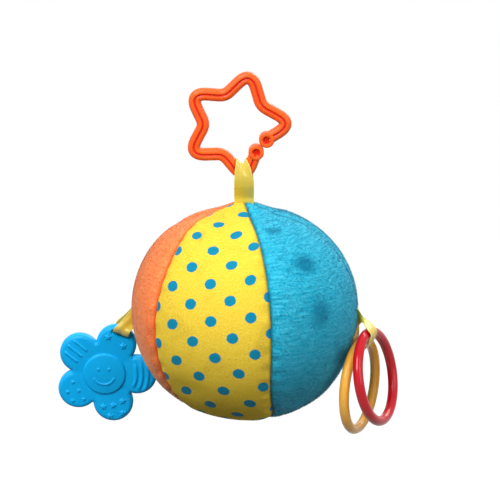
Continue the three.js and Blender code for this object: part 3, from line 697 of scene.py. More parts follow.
FINE_ROWS = 190
FINE_COLUMNS = 72
TUCK_DEPTH = 0.9
TUCK_SPREAD = 0.9
PUCKER = 0.28
PUCKER_PITCH = 9.0
PUCKER_PLACE = 2.5
PUCKER_SPREAD = 2.6


def tube_values(grid):
    """Values of a grid for the points of a closed tube made of it and of its reversed inner face."""
    rings = np.concatenate([grid, grid[:, ::-1]], 1).reshape(-1, grid.shape[-1])
    return np.concatenate([rings, grid[:1].mean(1), grid[-1:].mean(1)])


def gore(number):
    """One gore: the slack surface plus the cloth's movement read by cubics, tucked under at both
    seams with small puckers beside them, and an inner face SKIN below. Gives the shape, the outer
    grid, and each point's place on the flat cloth (across from the gore's middle, along)."""
    rows = np.linspace(0, GORE_ROWS - 1, FINE_ROWS)
    share = (1 - np.cos(np.linspace(0, math.pi, FINE_COLUMNS))) / 2
    span = math.pi - 2 * FIRST_POLAR
    polar = (FIRST_POLAR + span * rows / (GORE_ROWS - 1))[:, None] + np.zeros(FINE_COLUMNS)
    first, last = seam_azimuth(number, polar), seam_azimuth(number + 1, polar)
    middle = (seam_azimuth(number, math.pi / 2) + seam_azimuth(number + 1, math.pi / 2)) / 2
    margin = FIT_GAP / 2 / (BALL_RADIUS * np.sin(polar))
    azimuth = first + margin + (last - first - 2 * margin) * share
    columns = np.arange(number * GORE_STEPS, (number + 1) * GORE_STEPS + 1) % (6 * GORE_STEPS)
    down = cubic_weights(rows, GORE_ROWS)
    across = cubic_weights(share * GORE_STEPS, GORE_STEPS + 1)
    push = np.einsum("ri,ijk,cj->rck", down, swell[:, columns], across)
    bulge = np.sin(math.pi * share) * np.sin(polar)
    way = ball_direction(polar, azimuth)
    edge = np.minimum(azimuth - first, last - azimuth) * BALL_RADIUS * np.sin(polar)
    tuck = TUCK_DEPTH * np.exp(-((edge / TUCK_SPREAD) ** 2))
    along = polar * BALL_RADIUS
    side = np.where(azimuth - first < last - azimuth, 1.3, 4.1)
    gather = np.sin(2 * math.pi * along / PUCKER_PITCH + side + 1.5 * np.sin(along / 11 + number))
    beside = np.exp(-(((edge - PUCKER_PLACE) / PUCKER_SPREAD) ** 2))
    pucker = PUCKER * gather * beside * np.sin(polar)
    outer = ball_point(polar, azimuth, START_SLACK * bulge) + push + (pucker - tuck)[..., None] * way
    inner = outer - SKIN * way
    rings = np.concatenate([outer, inner[:, ::-1]], 1)
    off_middle = (azimuth - middle) * BALL_RADIUS * np.sin(polar)
    flat = np.stack([off_middle, BALL_RADIUS * (math.pi / 2 - polar)], -1)
    return outward(*closed_tube(rings)), outer, flat, tube_values(flat)


PRINT_UNITS = np.array([30.0, 60.0])
PRINT_ROWS = np.array(
    [
        [1.318, 1.660, -2.792, 0.044, 0.004, -0.090, 0.376, -0.075, -0.040, -0.129],
        [1.631, -1.129, -3.411, -0.130, -0.135, -0.222, 0.265, 0.062, 0.183, -0.037],
    ]
)


def print_place(flat):
    """Where a point lies on the dotted print, counted in dots along its two slanted rows: for each
    row a sum of powers of the flat place, as the cloth is stretched a little towards both ends."""
    x, y = np.moveaxis(flat / PRINT_UNITS, -1, 0)
    powers = [np.ones_like(x), x, y, x * y, x**2, y**2, y**3, x * y**2, x * y**3, y**5]
    return np.stack(powers, -1) @ PRINT_ROWS.T


ROW_SLANT = 0.22
# Width of the painted shade along every seam.
SEAM_SHADE_SPREAD = 1.3
BLUE_PRESS_MARKS = (
    (-7.2, 36.5, 8.5, 5.6),
    (-7.2, 10.5, 6.8, 8.6),
    (-9.3, 61.4, 5.0, 3.2),
    (12.0, -18.0, 7.0, 6.0),
)
PRESS_MARKS = {2: BLUE_PRESS_MARKS}


def pressed_pile_and_seam_shade(number, flat, points):
    """How far the pile of a gore is pressed down or shaded: along its seams as painted shade, and
    pressed down over each of its marks (across, along, half sizes) as a flat-topped bell."""
    way = unit(points - BALL_CENTRE)
    polar = np.arccos(np.clip(way[:, 2], -1, 1))
    # Painted shade: the pile is darkened along every seam, where the two gores' piles meet.
    share = np.exp(-((seam_distance(polar, np.arctan2(way[:, 0], -way[:, 1])) / SEAM_SHADE_SPREAD) ** 2))
    for across, along, wide, tall in PRESS_MARKS.get(number, ()):
        near = ((flat[:, 0] - across) / wide) ** 2 + ((flat[:, 1] - along) / tall) ** 2
        share = np.maximum(share, np.exp(-(near**2)))
    return share


def pile_marks(number, flat, points):
    """The marks of a gore's plush: places on the print, and how far the pile is pressed down or darkened by
    painted seam shade.
    """
    return {"print_place": print_place(flat), "pressed_pile_and_seam_shade": pressed_pile_and_seam_shade(number, flat, points)}


def pile_group():
    """Plush pile on flat cloth coordinates: fine tips, slanted knit rows, broad patches where the pile is
    pressed the other way and looks darker, and the given marks, which also carry painted shade along the
    seams. Gives a colour and a height."""
    group, given, out = shader_group(
        "plush_pile",
        [
            ("Flat", "Vector", None),
            ("Colour", "Color", None),
            ("Tip", "Color", None),
            ("Pressed", "Color", None),
            ("Rows", "Float", 0.3),
            ("Patches", "Float", 0.5),
            ("Marks", "Float", 0.0),
        ],
        [("Colour", "Color"), ("Height", "Float")],
    )
    flat = given.outputs["Flat"]
    turned_rows = {"Vector": flat, "Rotation": (0, 0, ROW_SLANT), "Scale": (12.0, 80.0, 1.0)}
    slant = node(group, "ShaderNodeMapping", turned_rows)
    tips = noise(group, flat, 95.0, 2.0, Roughness=0.6)
    rows = noise(group, slant.outputs[0], 1.0, 2.0)
    broad = noise(group, flat, 5.5, 3.0, Distortion=0.8)
    pressed = ranged(group, broad, 0.52, 0.72, 0.0, 1.0)
    patches = maths(group, "MULTIPLY", pressed, given.outputs["Patches"])
    # The marks hold the pressed marks and the painted seam shade; both take the pressed colour and flatten
    # the tips.
    pressed_or_seam_shaded = maths(group, "MULTIPLY", maths(group, "ADD", broad, 0.4), given.outputs["Marks"])
    deep = maths(group, "MAXIMUM", patches, pressed_or_seam_shaded)
    standing = maths(group, "SUBTRACT", 1.0, pressed_or_seam_shaded)
    row_share = ranged(group, rows, 0.4, 0.7, 0.0, 1.0)
    lines = maths(group, "MULTIPLY", row_share, given.outputs["Rows"])
    lines = maths(group, "MULTIPLY", lines, standing)
    bright = maths(group, "MULTIPLY", ranged(group, tips, 0.4, 0.75, 0.0, 0.7), standing)
    base = blended(group, deep, given.outputs["Colour"], given.outputs["Pressed"])
    lined = blended(group, lines, base, given.outputs["Tip"])
    tone = blended(group, bright, lined, given.outputs["Tip"])
    height = maths(group, "ADD", tips, maths(group, "MULTIPLY", lines, 0.4))
    feed(group, out, {"Colour": tone, "Height": height})
    return group


plush_pile = pile_group()
DOT_RADIUS = 0.206
DOT_BLUR = 0.012
DOT_FRAY = 0.05
DOT_MIDDLE = (0.5, 0.5, 0.0)


def vector_maths(tree, operation, first, second=(0.0, 0.0, 0.0), output="Vector"):
    """An output of one Vector Math node."""
    made = node(tree, "ShaderNodeVectorMath", {0: first, 1: second}, operation=operation)
    return made.outputs[output]


def plush(name, tone, tip, pressed, rim, rows, patches, sheen, dot=None):
    """Plush of one colour, with soft-edged round dots of another where it is printed."""
    material, tree, shader, _ = start_material(name)
    flat = node(tree, "ShaderNodeUVMap", uv_map="flat").outputs[0]
    look = {
        "Flat": flat,
        "Colour": colour(tone),
        "Tip": colour(tip),
        "Pressed": colour(pressed),
        "Rows": rows,
        "Patches": patches,
        # Pressed marks and the painted shade along the seams.
        "Marks": node(tree, "ShaderNodeAttribute", attribute_name="pressed_pile_and_seam_shade").outputs["Fac"],
    }
    pile = node(tree, "ShaderNodeGroup", look, node_tree=plush_pile)
    tint = pile.outputs["Colour"]
    if dot:
        place = node(tree, "ShaderNodeAttribute", attribute_name="print_place").outputs["Vector"]
        inside = vector_maths(tree, "FRACTION", vector_maths(tree, "ADD", place, DOT_MIDDLE))
        offset = vector_maths(tree, "SUBTRACT", inside, DOT_MIDDLE)
        reach = vector_maths(tree, "LENGTH", offset, output="Value")
        ragged = maths(tree, "SUBTRACT", noise(tree, flat, 90.0, 2.0), 0.5)
        reach = maths(tree, "ADD", reach, maths(tree, "MULTIPLY", ragged, DOT_FRAY))
        mask = ranged(tree, reach, DOT_RADIUS - DOT_BLUR, DOT_RADIUS + DOT_BLUR, 1.0, 0.0)
        ink = blended(tree, 0.25, colour(dot), tint, "OVERLAY")
        tint = blended(tree, mask, tint, ink)
    values = {
        "Base Color": tint,
        "Roughness": 0.9,
        "Specular IOR Level": 0.12,
        "Sheen Weight": sheen,
        "Sheen Roughness": 0.38,
        "Sheen Tint": colour(rim),
    }
    feed(tree, shader, values)
    set_bump(tree, shader, pile.outputs["Height"], 0.5, 0.0005)
    return material


plush_orange = plush("plush_orange", "f47636", "ffab76", "ea5a1e", "ffc8a4", 0.3, 0.7, 0.7)
velour_dots = plush("velour_dots", "e2bf2c", "f0d65c", "c49e1c", "f0dc7c", 0.2, 0.7, 0.15, dot="0880b8")
plush_blue = plush("plush_blue", "00a0c2", "46c4e0", "00799b", "8fd8f2", 0.95, 0.6, 0.8)


PILE_FALL = np.array([0.15, 0, -1.0])


def fibres(outer, flat, count, length, width, seed):
    """Pile tips: thin triangles that stand on random places of a gore's outer grid, lean down the
    cloth and a little at random. Gives their shape, flat places and shading directions."""
    chance = np.random.default_rng(seed)
    rows, columns, _ = outer.shape
    a, b = np.gradient(outer, axis=0), np.gradient(outer, axis=1)
    normal = np.cross(a, b)
    area = np.linalg.norm(normal, axis=-1)
    normal = normal / np.maximum(area, 1e-9)[..., None]
    normal = normal * np.sign(np.einsum("rck,rck->rc", normal, outer - BALL_CENTRE))[..., None]
    pick = chance.choice(rows * columns, count, p=(area / area.sum()).ravel())
    i = np.clip(pick // columns + chance.uniform(-0.5, 0.5, count), 0, rows - 1.001)
    j = np.clip(pick % columns + chance.uniform(-0.5, 0.5, count), 0, columns - 1.001)
    i0, j0 = i.astype(int), j.astype(int)
    s, t = (i - i0)[:, None], (j - j0)[:, None]

    def read(field):
        """A field of the grid at the picked places, blended from its four nearest points."""
        top = field[i0, j0] * (1 - t) + field[i0, j0 + 1] * t
        low = field[i0 + 1, j0] * (1 - t) + field[i0 + 1, j0 + 1] * t
        return top * (1 - s) + low * s

    root, up, place = read(outer), unit(read(normal)), read(flat)
    wild = chance.normal(size=(count, 3))
    down = unit(PILE_FALL - up * (up @ PILE_FALL)[:, None])
    lean = unit(up + 0.55 * down + 0.3 * wild)
    aside = unit(np.cross(lean, wild))
    tall = length * chance.uniform(0.6, 1.15, (count, 1))
    root = root - 0.15 * up
    corners = [root - aside * width / 2, root + aside * width / 2, root + lean * tall]
    points = np.stack(corners, 1).reshape(-1, 3)
    tris = np.arange(3 * count).reshape(-1, 3)
    facing = np.repeat(unit(up + 0.08 * wild), 3, 0)
    return (points, np.zeros((0, 4), int), tris), np.repeat(place, 3, 0), facing


GORES = (
    ("orange", "panel_orange", plush_orange, "plush_orange", 0.6),
    ("dots", "panel_dots", velour_dots, "velour_dots", 0.4),
    ("blue", "panel_blue", plush_blue, "plush_blue", 1.0),
    ("back_blue", "panel_back_blue", plush_blue, "plush_blue", 1.0),
    ("back_dots", "panel_back_dots", velour_dots, "velour_dots", 0.4),
    ("back_orange", "panel_back_orange", plush_orange, "plush_orange", 0.6),
)
PILE_COUNT = 45000
PILE_WIDTH = 0.16
PILE_SEED = 20
UV_UNIT = 100
for number, (label, cad_name, cloth, slot_name, pile_length) in enumerate(GORES):
    shape, outer, flat, flat_all = gore(number)
    marks = pile_marks(number, flat_all, shape[0])
    skin = make_piece(f"gore_{label}", shape, cloth, uv=flat_all / UV_UNIT, marks=marks)
    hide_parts(cad_name)
    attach(skin, "ball")
    tips, tip_flat, facing = fibres(outer, flat, PILE_COUNT, pile_length, PILE_WIDTH, PILE_SEED + number)
    marks = pile_marks(number, tip_flat, tips[0])
    pile = make_piece(f"pile_{label}", tips, cloth, uv=tip_flat / UV_UNIT, marks=marks)
    pile.data.normals_split_custom_set_from_vertices(facing.astype(np.float32))
    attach(pile, "ball")

# Seam stitches: polyester thread in short stitches down every seam, sunk between the two gores
# and showing only where the pile parts.
STITCH_PITCH = 3.4
STITCH_LENGTH = 2.2
STITCH_END = 0.15
THREAD_RADIUS = 0.2


def stitches(seam):
    """A row of short thread stitches along one seam: a thin tube for each, its ends dipping in."""
    count = int((math.pi - 2 * STITCH_END) * BALL_RADIUS / STITCH_PITCH)
    middle = np.linspace(STITCH_END, math.pi - STITCH_END, count)
    s = np.linspace(-1, 1, 5)
    polar = middle[:, None] + s * STITCH_LENGTH / 2 / BALL_RADIUS
    dip = TUCK_DEPTH - 0.25 + 0.5 * s**2
    azimuth = seam_azimuth(seam, polar)
    line = ball_point(polar, azimuth, dip)
    way = ball_direction(polar, azimuth)
    aside = np.stack([np.cos(azimuth), np.sin(azimuth), np.zeros_like(azimuth)], -1)
    turn = full_turn(6)
    section = np.cos(turn)[:, None] * aside[:, :, None, :] + np.sin(turn)[:, None] * way[:, :, None, :]
    rings = line[:, :, None, :] + THREAD_RADIUS * section
    return joined(*[outward(*closed_tube(ring)) for ring in rings])


def thread_material():
    """Sewing thread: fine twist lines across it in colour and height."""
    material, tree, shader, place = start_material("seam_thread")
    wave = node(tree, "ShaderNodeTexWave", {"Vector": place, "Scale": 900.0, "Distortion": 1.0})
    twist = wave.outputs["Fac"]
    tint = blended(tree, twist, colour("2c5a4e"), colour("4d7a5c"))
    feed(tree, shader, {"Base Color": tint, "Roughness": 0.6})
    set_bump(tree, shader, twist, 0.4, 0.0002)
    return material


thread = make_piece("seam_stitches", joined(*[stitches(k) for k in range(6)]), thread_material())
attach(thread, "ball")

# Top ribbon: yellow satin folded over the link's bottom lobe, drawn together by the lobe's narrow
# inside, and sewn with both ends into the ball's top.
RIBBON_WIDTH = 10.3
RIBBON_THICKNESS = 0.5
CAD_RIBBON_THICKNESS = 0.6
RIBBON_TAIL = 5.0
GATHERED_WIDTH = 5.0
GATHER_SHIFT = 1.3
LOOP_SLACK = 1.0
TOP_DROP = 12.0
ACROSS = np.linspace(-1, 1, 29)


def smooth_run(stations, count):
    """Smooth lines through rows of stations (station, column, xyz): a cubic through each four
    neighbours, with points spread evenly over the stations' own distances."""
    gaps = np.linalg.norm(np.diff(stations.mean(1), axis=0), axis=-1) ** 0.5
    knots = np.concatenate([[0], np.cumsum(gaps)])
    slope = np.gradient(stations, knots, axis=0)
    u = np.linspace(0, knots[-1], count)
    k = np.clip(np.searchsorted(knots, u, side="right") - 1, 0, len(knots) - 2)
    h = (knots[k + 1] - knots[k])[:, None, None]
    t = ((u - knots[k]) / (knots[k + 1] - knots[k]))[:, None, None]
    return (
        (2 * t**3 - 3 * t**2 + 1) * stations[k]
        + (t**3 - 2 * t**2 + t) * h * slope[k]
        + (3 * t**2 - 2 * t**3) * stations[k + 1]
        + (t**3 - t**2) * h * slope[k + 1]
    )


def surface_normals(rows):
    """Unit normals of a grid of points."""
    return unit(np.cross(np.gradient(rows, axis=0), np.gradient(rows, axis=1)))


def strip(rows):
    """A ribbon of RIBBON_THICKNESS round a grid of points, closed along its edges and ends, with
    thin woven edges a little thicker than the middle. Gives the shape, its flat coordinates and its
    length."""
    normal = surface_normals(rows)
    share = np.abs(np.linspace(-1, 1, rows.shape[1]))
    half = RIBBON_THICKNESS / 2 * (0.8 + 0.2 * (share > 0.93))
    upper = rows + half[None, :, None] * normal
    lower = rows - half[None, :, None] * normal
    rings = np.concatenate([upper, lower[:, ::-1]], 1)
    reach = reach_along(rows.mean(1))
    across = np.linspace(0, RIBBON_WIDTH, rows.shape[1])
    flat = np.stack(np.broadcast_arrays(across[None, :], reach[:, None]), -1)
    return outward(*closed_tube(rings)), tube_values(flat), float(reach[-1])


def satin_material():
    """Yellow satin: fine lengthwise threads in colour, gloss and height, ribbed woven edges, and
    faint darker bars across it, painted shade of the creases where it has been folded."""
    material, tree, shader, _ = start_material("satin")
    flat = node(tree, "ShaderNodeUVMap", uv_map="flat").outputs[0]
    threads_map = node(tree, "ShaderNodeMapping", {"Vector": flat, "Scale": (900.0, 12.0, 1.0)})
    threads = noise(tree, threads_map.outputs[0], 1.0, 2.0)
    fold_shade_map = node(tree, "ShaderNodeMapping", {"Vector": flat, "Scale": (8.0, 70.0, 1.0)})
    fold_shade = noise(tree, fold_shade_map.outputs[0], 1.0, 2.0)
    across = node(tree, "ShaderNodeSeparateXYZ", {0: flat}).outputs[0]
    off_middle = maths(tree, "SUBTRACT", across, RIBBON_WIDTH / 2 / UV_UNIT)
    edge = ranged(tree, maths(tree, "ABSOLUTE", off_middle), 0.0465, 0.0485, 0.0, 1.0)
    ribs = node(tree, "ShaderNodeTexWave", {"Vector": flat, "Scale": 55.0}, bands_direction="Y")
    tone = blended(tree, threads, colour("cdb02a"), colour("e9d150"))
    # Painted shade: darker bars across the satin stand for the shade in its fold creases.
    tone = blended(tree, maths(tree, "MULTIPLY", fold_shade, 0.35), tone, colour("b99c22"))
    tone = blended(tree, maths(tree, "MULTIPLY", edge, 0.5), tone, colour("f6ea86"))
    dull = maths(tree, "MULTIPLY", threads, 0.18)
    dull = maths(tree, "ADD", dull, maths(tree, "MULTIPLY", edge, 0.25))
    values = {
        "Base Color": tone,
        "Roughness": maths(tree, "ADD", dull, 0.22),
        "Specular IOR Level": 0.9,
        "Anisotropic": 0.5,
        "Sheen Weight": 0.2,
        "Sheen Tint": colour("fff6b0"),
    }
    feed(tree, shader, values)
    edge_ribs = maths(tree, "MULTIPLY", ribs.outputs["Fac"], edge)
    relief = maths(tree, "ADD", threads, maths(tree, "MULTIPLY", edge_ribs, 1.5))
    set_bump(tree, shader, relief, 0.35, 0.00012)
    return material


satin = satin_material()
lobe = star_centre + flat_polar(TIP_RADIUS, TIP_ANGLES[4])
layer_apart = (CAD_RIBBON_THICKNESS + FIT_GAP) / 2


def lobe_top(x):
    """Height of the link's inner side over places across its bottom lobe: the highest of the bar's
    round sections that reach each place."""
    near = arm_line[np.linalg.norm(arm_line - lobe, axis=1) < RIBBON_WIDTH]
    reach = ARM_WIDTH / 2
    apart = np.abs(x[:, None] - near[:, 0])
    over = near[:, 2] + np.sqrt(np.maximum(reach**2 - apart**2, 0))
    return np.where(apart < reach, over, lobe[2]).max(1)


def top_ribbon_rows():
    """Front half of the loop from tail to fold, then its mirror image behind: full width at the
    ball, gathered at the fold, with two creases that run down from the notch in the fold."""
    half_depth = ARM_DEPTH / 2 + CAD_RIBBON_THICKNESS / 2 + FIT_GAP + LOOP_SLACK
    fold_x = lobe[0] - GATHER_SHIFT + ACROSS * GATHERED_WIDTH / 2
    foot_x = lobe[0] + ACROSS * RIBBON_WIDTH / 2
    fold_z = lobe_top(fold_x) + CAD_RIBBON_THICKNESS / 2 + FIT_GAP + LOOP_SLACK / 2
    crest = ARM_WIDTH / 2 + LOOP_SLACK / 2
    same = np.ones_like(ACROSS)
    front = [
        (foot_x, layer_apart * same, (top_stitch[2] - RIBBON_TAIL) * same),
        (foot_x, layer_apart * same, top_stitch[2] * same),
        (foot_x, 1.6 * layer_apart * same, (top_stitch[2] + 0.2 * TOP_DROP) * same),
        (foot_x, 0.75 * half_depth * same, (lobe[2] - ARM_WIDTH) * same),
        (0.15 * fold_x + 0.85 * foot_x, half_depth * same, (lobe[2] - ARM_WIDTH / 4) * same),
        (0.5 * fold_x + 0.5 * foot_x, 0.97 * half_depth * same, fold_z - crest),
        (0.85 * fold_x + 0.15 * foot_x, 0.8 * half_depth * same, fold_z - 0.3 * crest),
        (fold_x, 0.42 * half_depth * same, fold_z - 0.04 * crest),
    ]
    front = np.array([np.stack(row, -1) for row in front])
    before = front * np.array([1, -1, 1])
    rows = smooth_run(np.concatenate([before, front[::-1]]), 220)
    share = np.linspace(-1, 1, len(rows))[:, None]
    high = np.exp(-((share / 0.42) ** 2)) * np.sin(math.pi * np.clip(np.abs(share) * 1.6, 0, 1))
    crease = 0.55 * np.exp(-(((np.abs(ACROSS) - 0.15 - 0.9 * np.abs(share)) / 0.2) ** 2)) * high
    sway = 0.22 * np.sin(3.2 * ACROSS + 2.0 * share) * (1 - np.abs(share)) ** 0.5
    out = (crease + sway * (np.abs(share) > 0.12)) * np.sign(share)
    return rows + out[..., None] * np.array([0, -1, 0])


top_shape, top_flat, top_length = strip(top_ribbon_rows())
ribbon_top = make_piece("ribbon_top_satin", top_shape, satin, uv=top_flat / UV_UNIT)
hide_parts("ribbon_top")
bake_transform(ribbon_top)

# Flower teether: one blue silicone moulding to bite on, five petals with a different texture on
# each, a raised smiling middle, and a slot in one petal for the ribbon that carries it.
FLOWER_DEPTH = 7.0
PETAL_RADIUS = 10.9
PETAL_OFFSET = 17.4
PLATE_RADIUS = 18.6
PETAL_TURN = math.radians(68)
PETAL_EDGE = 2.4
TEXTURE_MARGIN = 0.6
PETAL_CROWN = 0.35
FACE_RADIUS = 11.6
FACE_STEP = 1.1
FACE_DOME = 0.9
FACE_EDGE = 1.0
EDGE_SHARE = 0.88
SLOT_OFFSET = 24.4
SLOT_LENGTH = 9.6
SLOT_WIDTH = 2.4
SLOT_FLARE = 0.8
FLARE_OUT = 0.3
LEFT_REACH = 18.2
LEFT_FALL = math.radians(47.9)
slot_up = flat_polar(1.0, PETAL_TURN)
slot_across = flat_polar(1.0, PETAL_TURN - math.pi / 2)
slot_centre = left_stitch + flat_polar(-LEFT_REACH, LEFT_FALL)
flower_centre = slot_centre - SLOT_OFFSET * slot_up
PETAL_ANGLES = PETAL_TURN + np.arange(5) * 2 * math.pi / 5


def flower_edge(angle):
    """Distance from the flower's centre to its outline: the far side of the nearest petal's circle."""
    off = (angle - PETAL_TURN + math.pi / 5) % (2 * math.pi / 5) - math.pi / 5
    return PETAL_OFFSET * np.cos(off) + np.sqrt(PETAL_RADIUS**2 - (PETAL_OFFSET * np.sin(off)) ** 2)


def on_petal(k, along, aside):
    """A place in the flower's plane, by how far out from a petal's centre and how far aside."""
    out, turn = PETAL_ANGLES[k], PETAL_ANGLES[k] + math.pi / 2
    reach = PETAL_OFFSET + along
    return reach * math.cos(out) + aside * math.cos(turn), reach * math.sin(out) + aside * math.sin(turn)


def rounded(apart):
    """A rounded section: one minus the square of the distance, where positive, to the power 0.7."""
    return np.maximum(0, 1 - apart**2) ** 0.7


def mound(x, z, place, radius, height):
    """A round bump at a place."""
    return height * rounded(np.hypot(x - place[0], z - place[1]) / radius)


def star_mound(x, z, place, radius, height):
    """A small five-pointed bump, its radius pulled in between the points."""
    dx, dz = x - place[0], z - place[1]
    reach = radius * (0.78 + 0.22 * np.cos(5 * (np.arctan2(dz, dx) - math.pi / 2)))
    return height * rounded(np.hypot(dx, dz) / reach)


def bar(x, z, first, last, radius, height):
    """A straight ridge between two places, round in section."""
    first, last = np.array(first), np.array(last)
    along = last - first
    t = np.clip(((x - first[0]) * along[0] + (z - first[1]) * along[1]) / (along @ along), 0, 1)
    return height * rounded(np.hypot(x - first[0] - t * along[0], z - first[1] - t * along[1]) / radius)


def arc_ridge(x, z, radius, middle, half, width, height):
    """A ridge along a circle round the flower's centre, over part of a turn, fading at its ends."""
    off = np.abs(wrapped(np.arctan2(z, x) - middle))
    fade = 1 / (1 + np.exp((off - half) / 0.03))
    return height * rounded((np.hypot(x, z) - radius) / width) * fade


def petal_textures(x, z):
    """The raised patterns on the five petals, petal by petal from the slotted one."""
    rise = np.zeros_like(x)
    for along, aside in ((3.0, 5.6), (1.2, -3.8)):
        rise = rise + star_mound(x, z, on_petal(0, along, aside), 2.1, 0.7)
    for aside in (-4.1, 0.0, 4.1):
        far_end = on_petal(1, 7.4 - 0.25 * abs(aside), aside)
        rise = rise + bar(x, z, on_petal(1, -1.2, aside), far_end, 0.75, 0.65)
    for along, aside in ((-0.3, -5.0), (5.4, -2.0), (-0.2, 0.6), (5.9, 3.8), (0.3, 6.2)):
        rise = rise + star_mound(x, z, on_petal(2, along, aside), 1.35, 0.6)
    for along, aside in ((0.7, -5.6), (1.3, -0.2), (0.2, 5.4), (6.8, -3.4), (6.8, 3.8)):
        rise = rise + star_mound(x, z, on_petal(3, along, aside), 2.0, 0.75)
    for radius in (17.2, 20.4, 23.6):
        rise = rise + arc_ridge(x, z, radius, PETAL_ANGLES[4], 0.36, 1.1, 0.75)
    return rise


def smile(x, z):
    """A plain smiling face: two round eyes, a curved mouth line and a dimple at each end of it."""
    off = np.abs(wrapped(np.arctan2(z - 0.2, x + 0.2) + math.pi / 2))
    fade = 1 / (1 + np.exp((off - 0.95) / 0.04))
    face = 0.5 * rounded((np.hypot(x + 0.2, z - 0.2) - 5.9) / 0.7) * fade
    for eye in ((-3.2, 3.0), (2.6, 3.0)):
        face = face + mound(x, z, eye, 0.95, 0.45)
    for dimple in ((-5.4, -2.6), (5.0, -2.6)):
        face = face + mound(x, z, dimple, 1.0, 0.4)
    return face


def petal_body(x, z):
    """Half the thickness of the flat petals over places in their plane, with a quarter-round edge.
    Also gives how far inside the outline each place lies, and the nearest petal's centre from it."""
    across = x - PETAL_OFFSET * np.cos(PETAL_ANGLES)[:, None, None]
    upright = z - PETAL_OFFSET * np.sin(PETAL_ANGLES)[:, None, None]
    apart = np.hypot(across, upright).min(0)
    inside = np.maximum(np.maximum(PETAL_RADIUS - apart, 0), PLATE_RADIUS - np.hypot(x, z))
    edge = np.clip(1 - inside / PETAL_EDGE, 0, 1)
    return FLOWER_DEPTH / 2 - PETAL_EDGE * (1 - np.sqrt(1 - edge**2)), inside, apart


def flower_height(x, z):
    """Height of the front: flat petals with rounded edges, slightly crowned, plus the raised
    middle with its own rounded edge and dome, plus the textures and the face."""
    body, inside, apart = petal_body(x, z)
    centre = np.hypot(x, z)
    crown = PETAL_CROWN * np.clip(1 - (apart / PETAL_RADIUS) ** 2, 0, 1)
    rim = np.clip((centre - FACE_RADIUS + FACE_EDGE) / FACE_EDGE, 0, 1)
    step = FACE_STEP * np.where(centre < FACE_RADIUS, np.sqrt(np.maximum(0, 1 - rim**2)), 0)
    dome = FACE_DOME * np.maximum(0, 1 - (centre / FACE_RADIUS) ** 2)
    relief = petal_textures(x, z) * (inside > TEXTURE_MARGIN) + smile(x, z)
    return body + crown * (centre > FACE_RADIUS) + step + dome + relief


def flower_shape():
    """Front height field and flat back over shares of the outline's distance, closed at the edge."""
    angle = full_turn(480)

    def spread(shares):
        """Places in the flower's plane at shares of the distance to its outline."""
        reach = shares[:, None] * flower_edge(angle)
        return reach * np.cos(angle), reach * np.sin(angle)

    def rim(first, last, count):
        """Shares over the edge, a sine from the flat part to the outline."""
        return EDGE_SHARE + (1 - EDGE_SHARE) * np.sin(np.linspace(first, last, count))

    x, z = spread(np.concatenate([np.linspace(0.01, EDGE_SHARE, 92), rim(0.1, math.pi / 2, 16)]))
    front = np.stack([x, -flower_height(x, z), z], -1)
    x, z = spread(np.concatenate([rim(math.pi / 2, 0.1, 12)[1:], np.linspace(0.86, 0.01, 14)]))
    back = np.stack([x, petal_body(x, z)[0], z], -1)
    return outward(*closed_tube(np.concatenate([front, back]) + flower_centre))


def slot_cutter():
    """The slot as a bar with round ends, flared where it meets the flower's two faces."""
    turn = full_turn(40)
    depth = np.linspace(-FLOWER_DEPTH, FLOWER_DEPTH, 29)[:, None]
    past = np.minimum(np.abs(depth) - FLOWER_DEPTH / 2 - FLARE_OUT, 0)
    radius = SLOT_WIDTH / 2 + SLOT_FLARE * np.exp(-((past / SLOT_FLARE) ** 2))
    straight = (SLOT_LENGTH - SLOT_WIDTH) / 2
    wide = radius * np.cos(turn) + straight * np.sign(np.round(np.cos(turn), 6))
    tall = radius * np.sin(turn)
    rings = (
        slot_centre
        + wide[..., None] * slot_across
        + tall[..., None] * slot_up
        + (depth + np.zeros_like(wide))[..., None] * np.array([0, 1, 0])
    )
    return outward(*closed_tube(rings))


def silicone_material():
    """Blue silicone: soft depth, a faint dusty bloom in patches, and a fine matt skin."""
    material, tree, shader, place = start_material("silicone")
    bloom = noise(tree, place, 55.0, 4.0)
    values = {
        "Base Color": blended(tree, bloom, colour("00a2e2"), colour("00b0f0")),
        "Roughness": maths(tree, "ADD", maths(tree, "MULTIPLY", bloom, 0.2), 0.38),
        "Specular IOR Level": 0.2,
        "Subsurface Weight": 0.15,
        "Subsurface Radius": (0.001, 0.003, 0.005),
        "Subsurface Scale": 0.5,
    }
    feed(tree, shader, values)
    set_bump(tree, shader, noise(tree, place, 1400.0, 2.0), 0.15, 0.0002)
    return material


silicone = silicone_material()
flower = make_piece("flower_teether_moulding", flower_shape(), silicone)
cutter = make_piece("slot_cutter", slot_cutter(), silicone)
cut = flower.modifiers.new("slot", "BOOLEAN")
cut.operation = "DIFFERENCE"
cut.object = cutter
cut.solver = "EXACT"
bpy.context.view_layer.objects.active = flower
bpy.ops.object.modifier_apply(modifier="slot")
bpy.data.objects.remove(cutter)
flower.data.set_sharp_from_angle(angle=math.radians(50))
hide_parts("flower_teether")
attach(flower, "flower")

# Left ribbon: yellow satin sewn upright into the left seam, folded through the flower's slot, so
# the loop turns from upright at the ball to the slot's slant at the flower.
LEFT_BOW = 1.5
left_outward = ball_direction(np.array(math.pi / 2), np.array(SEAM_ANGLES[0]))


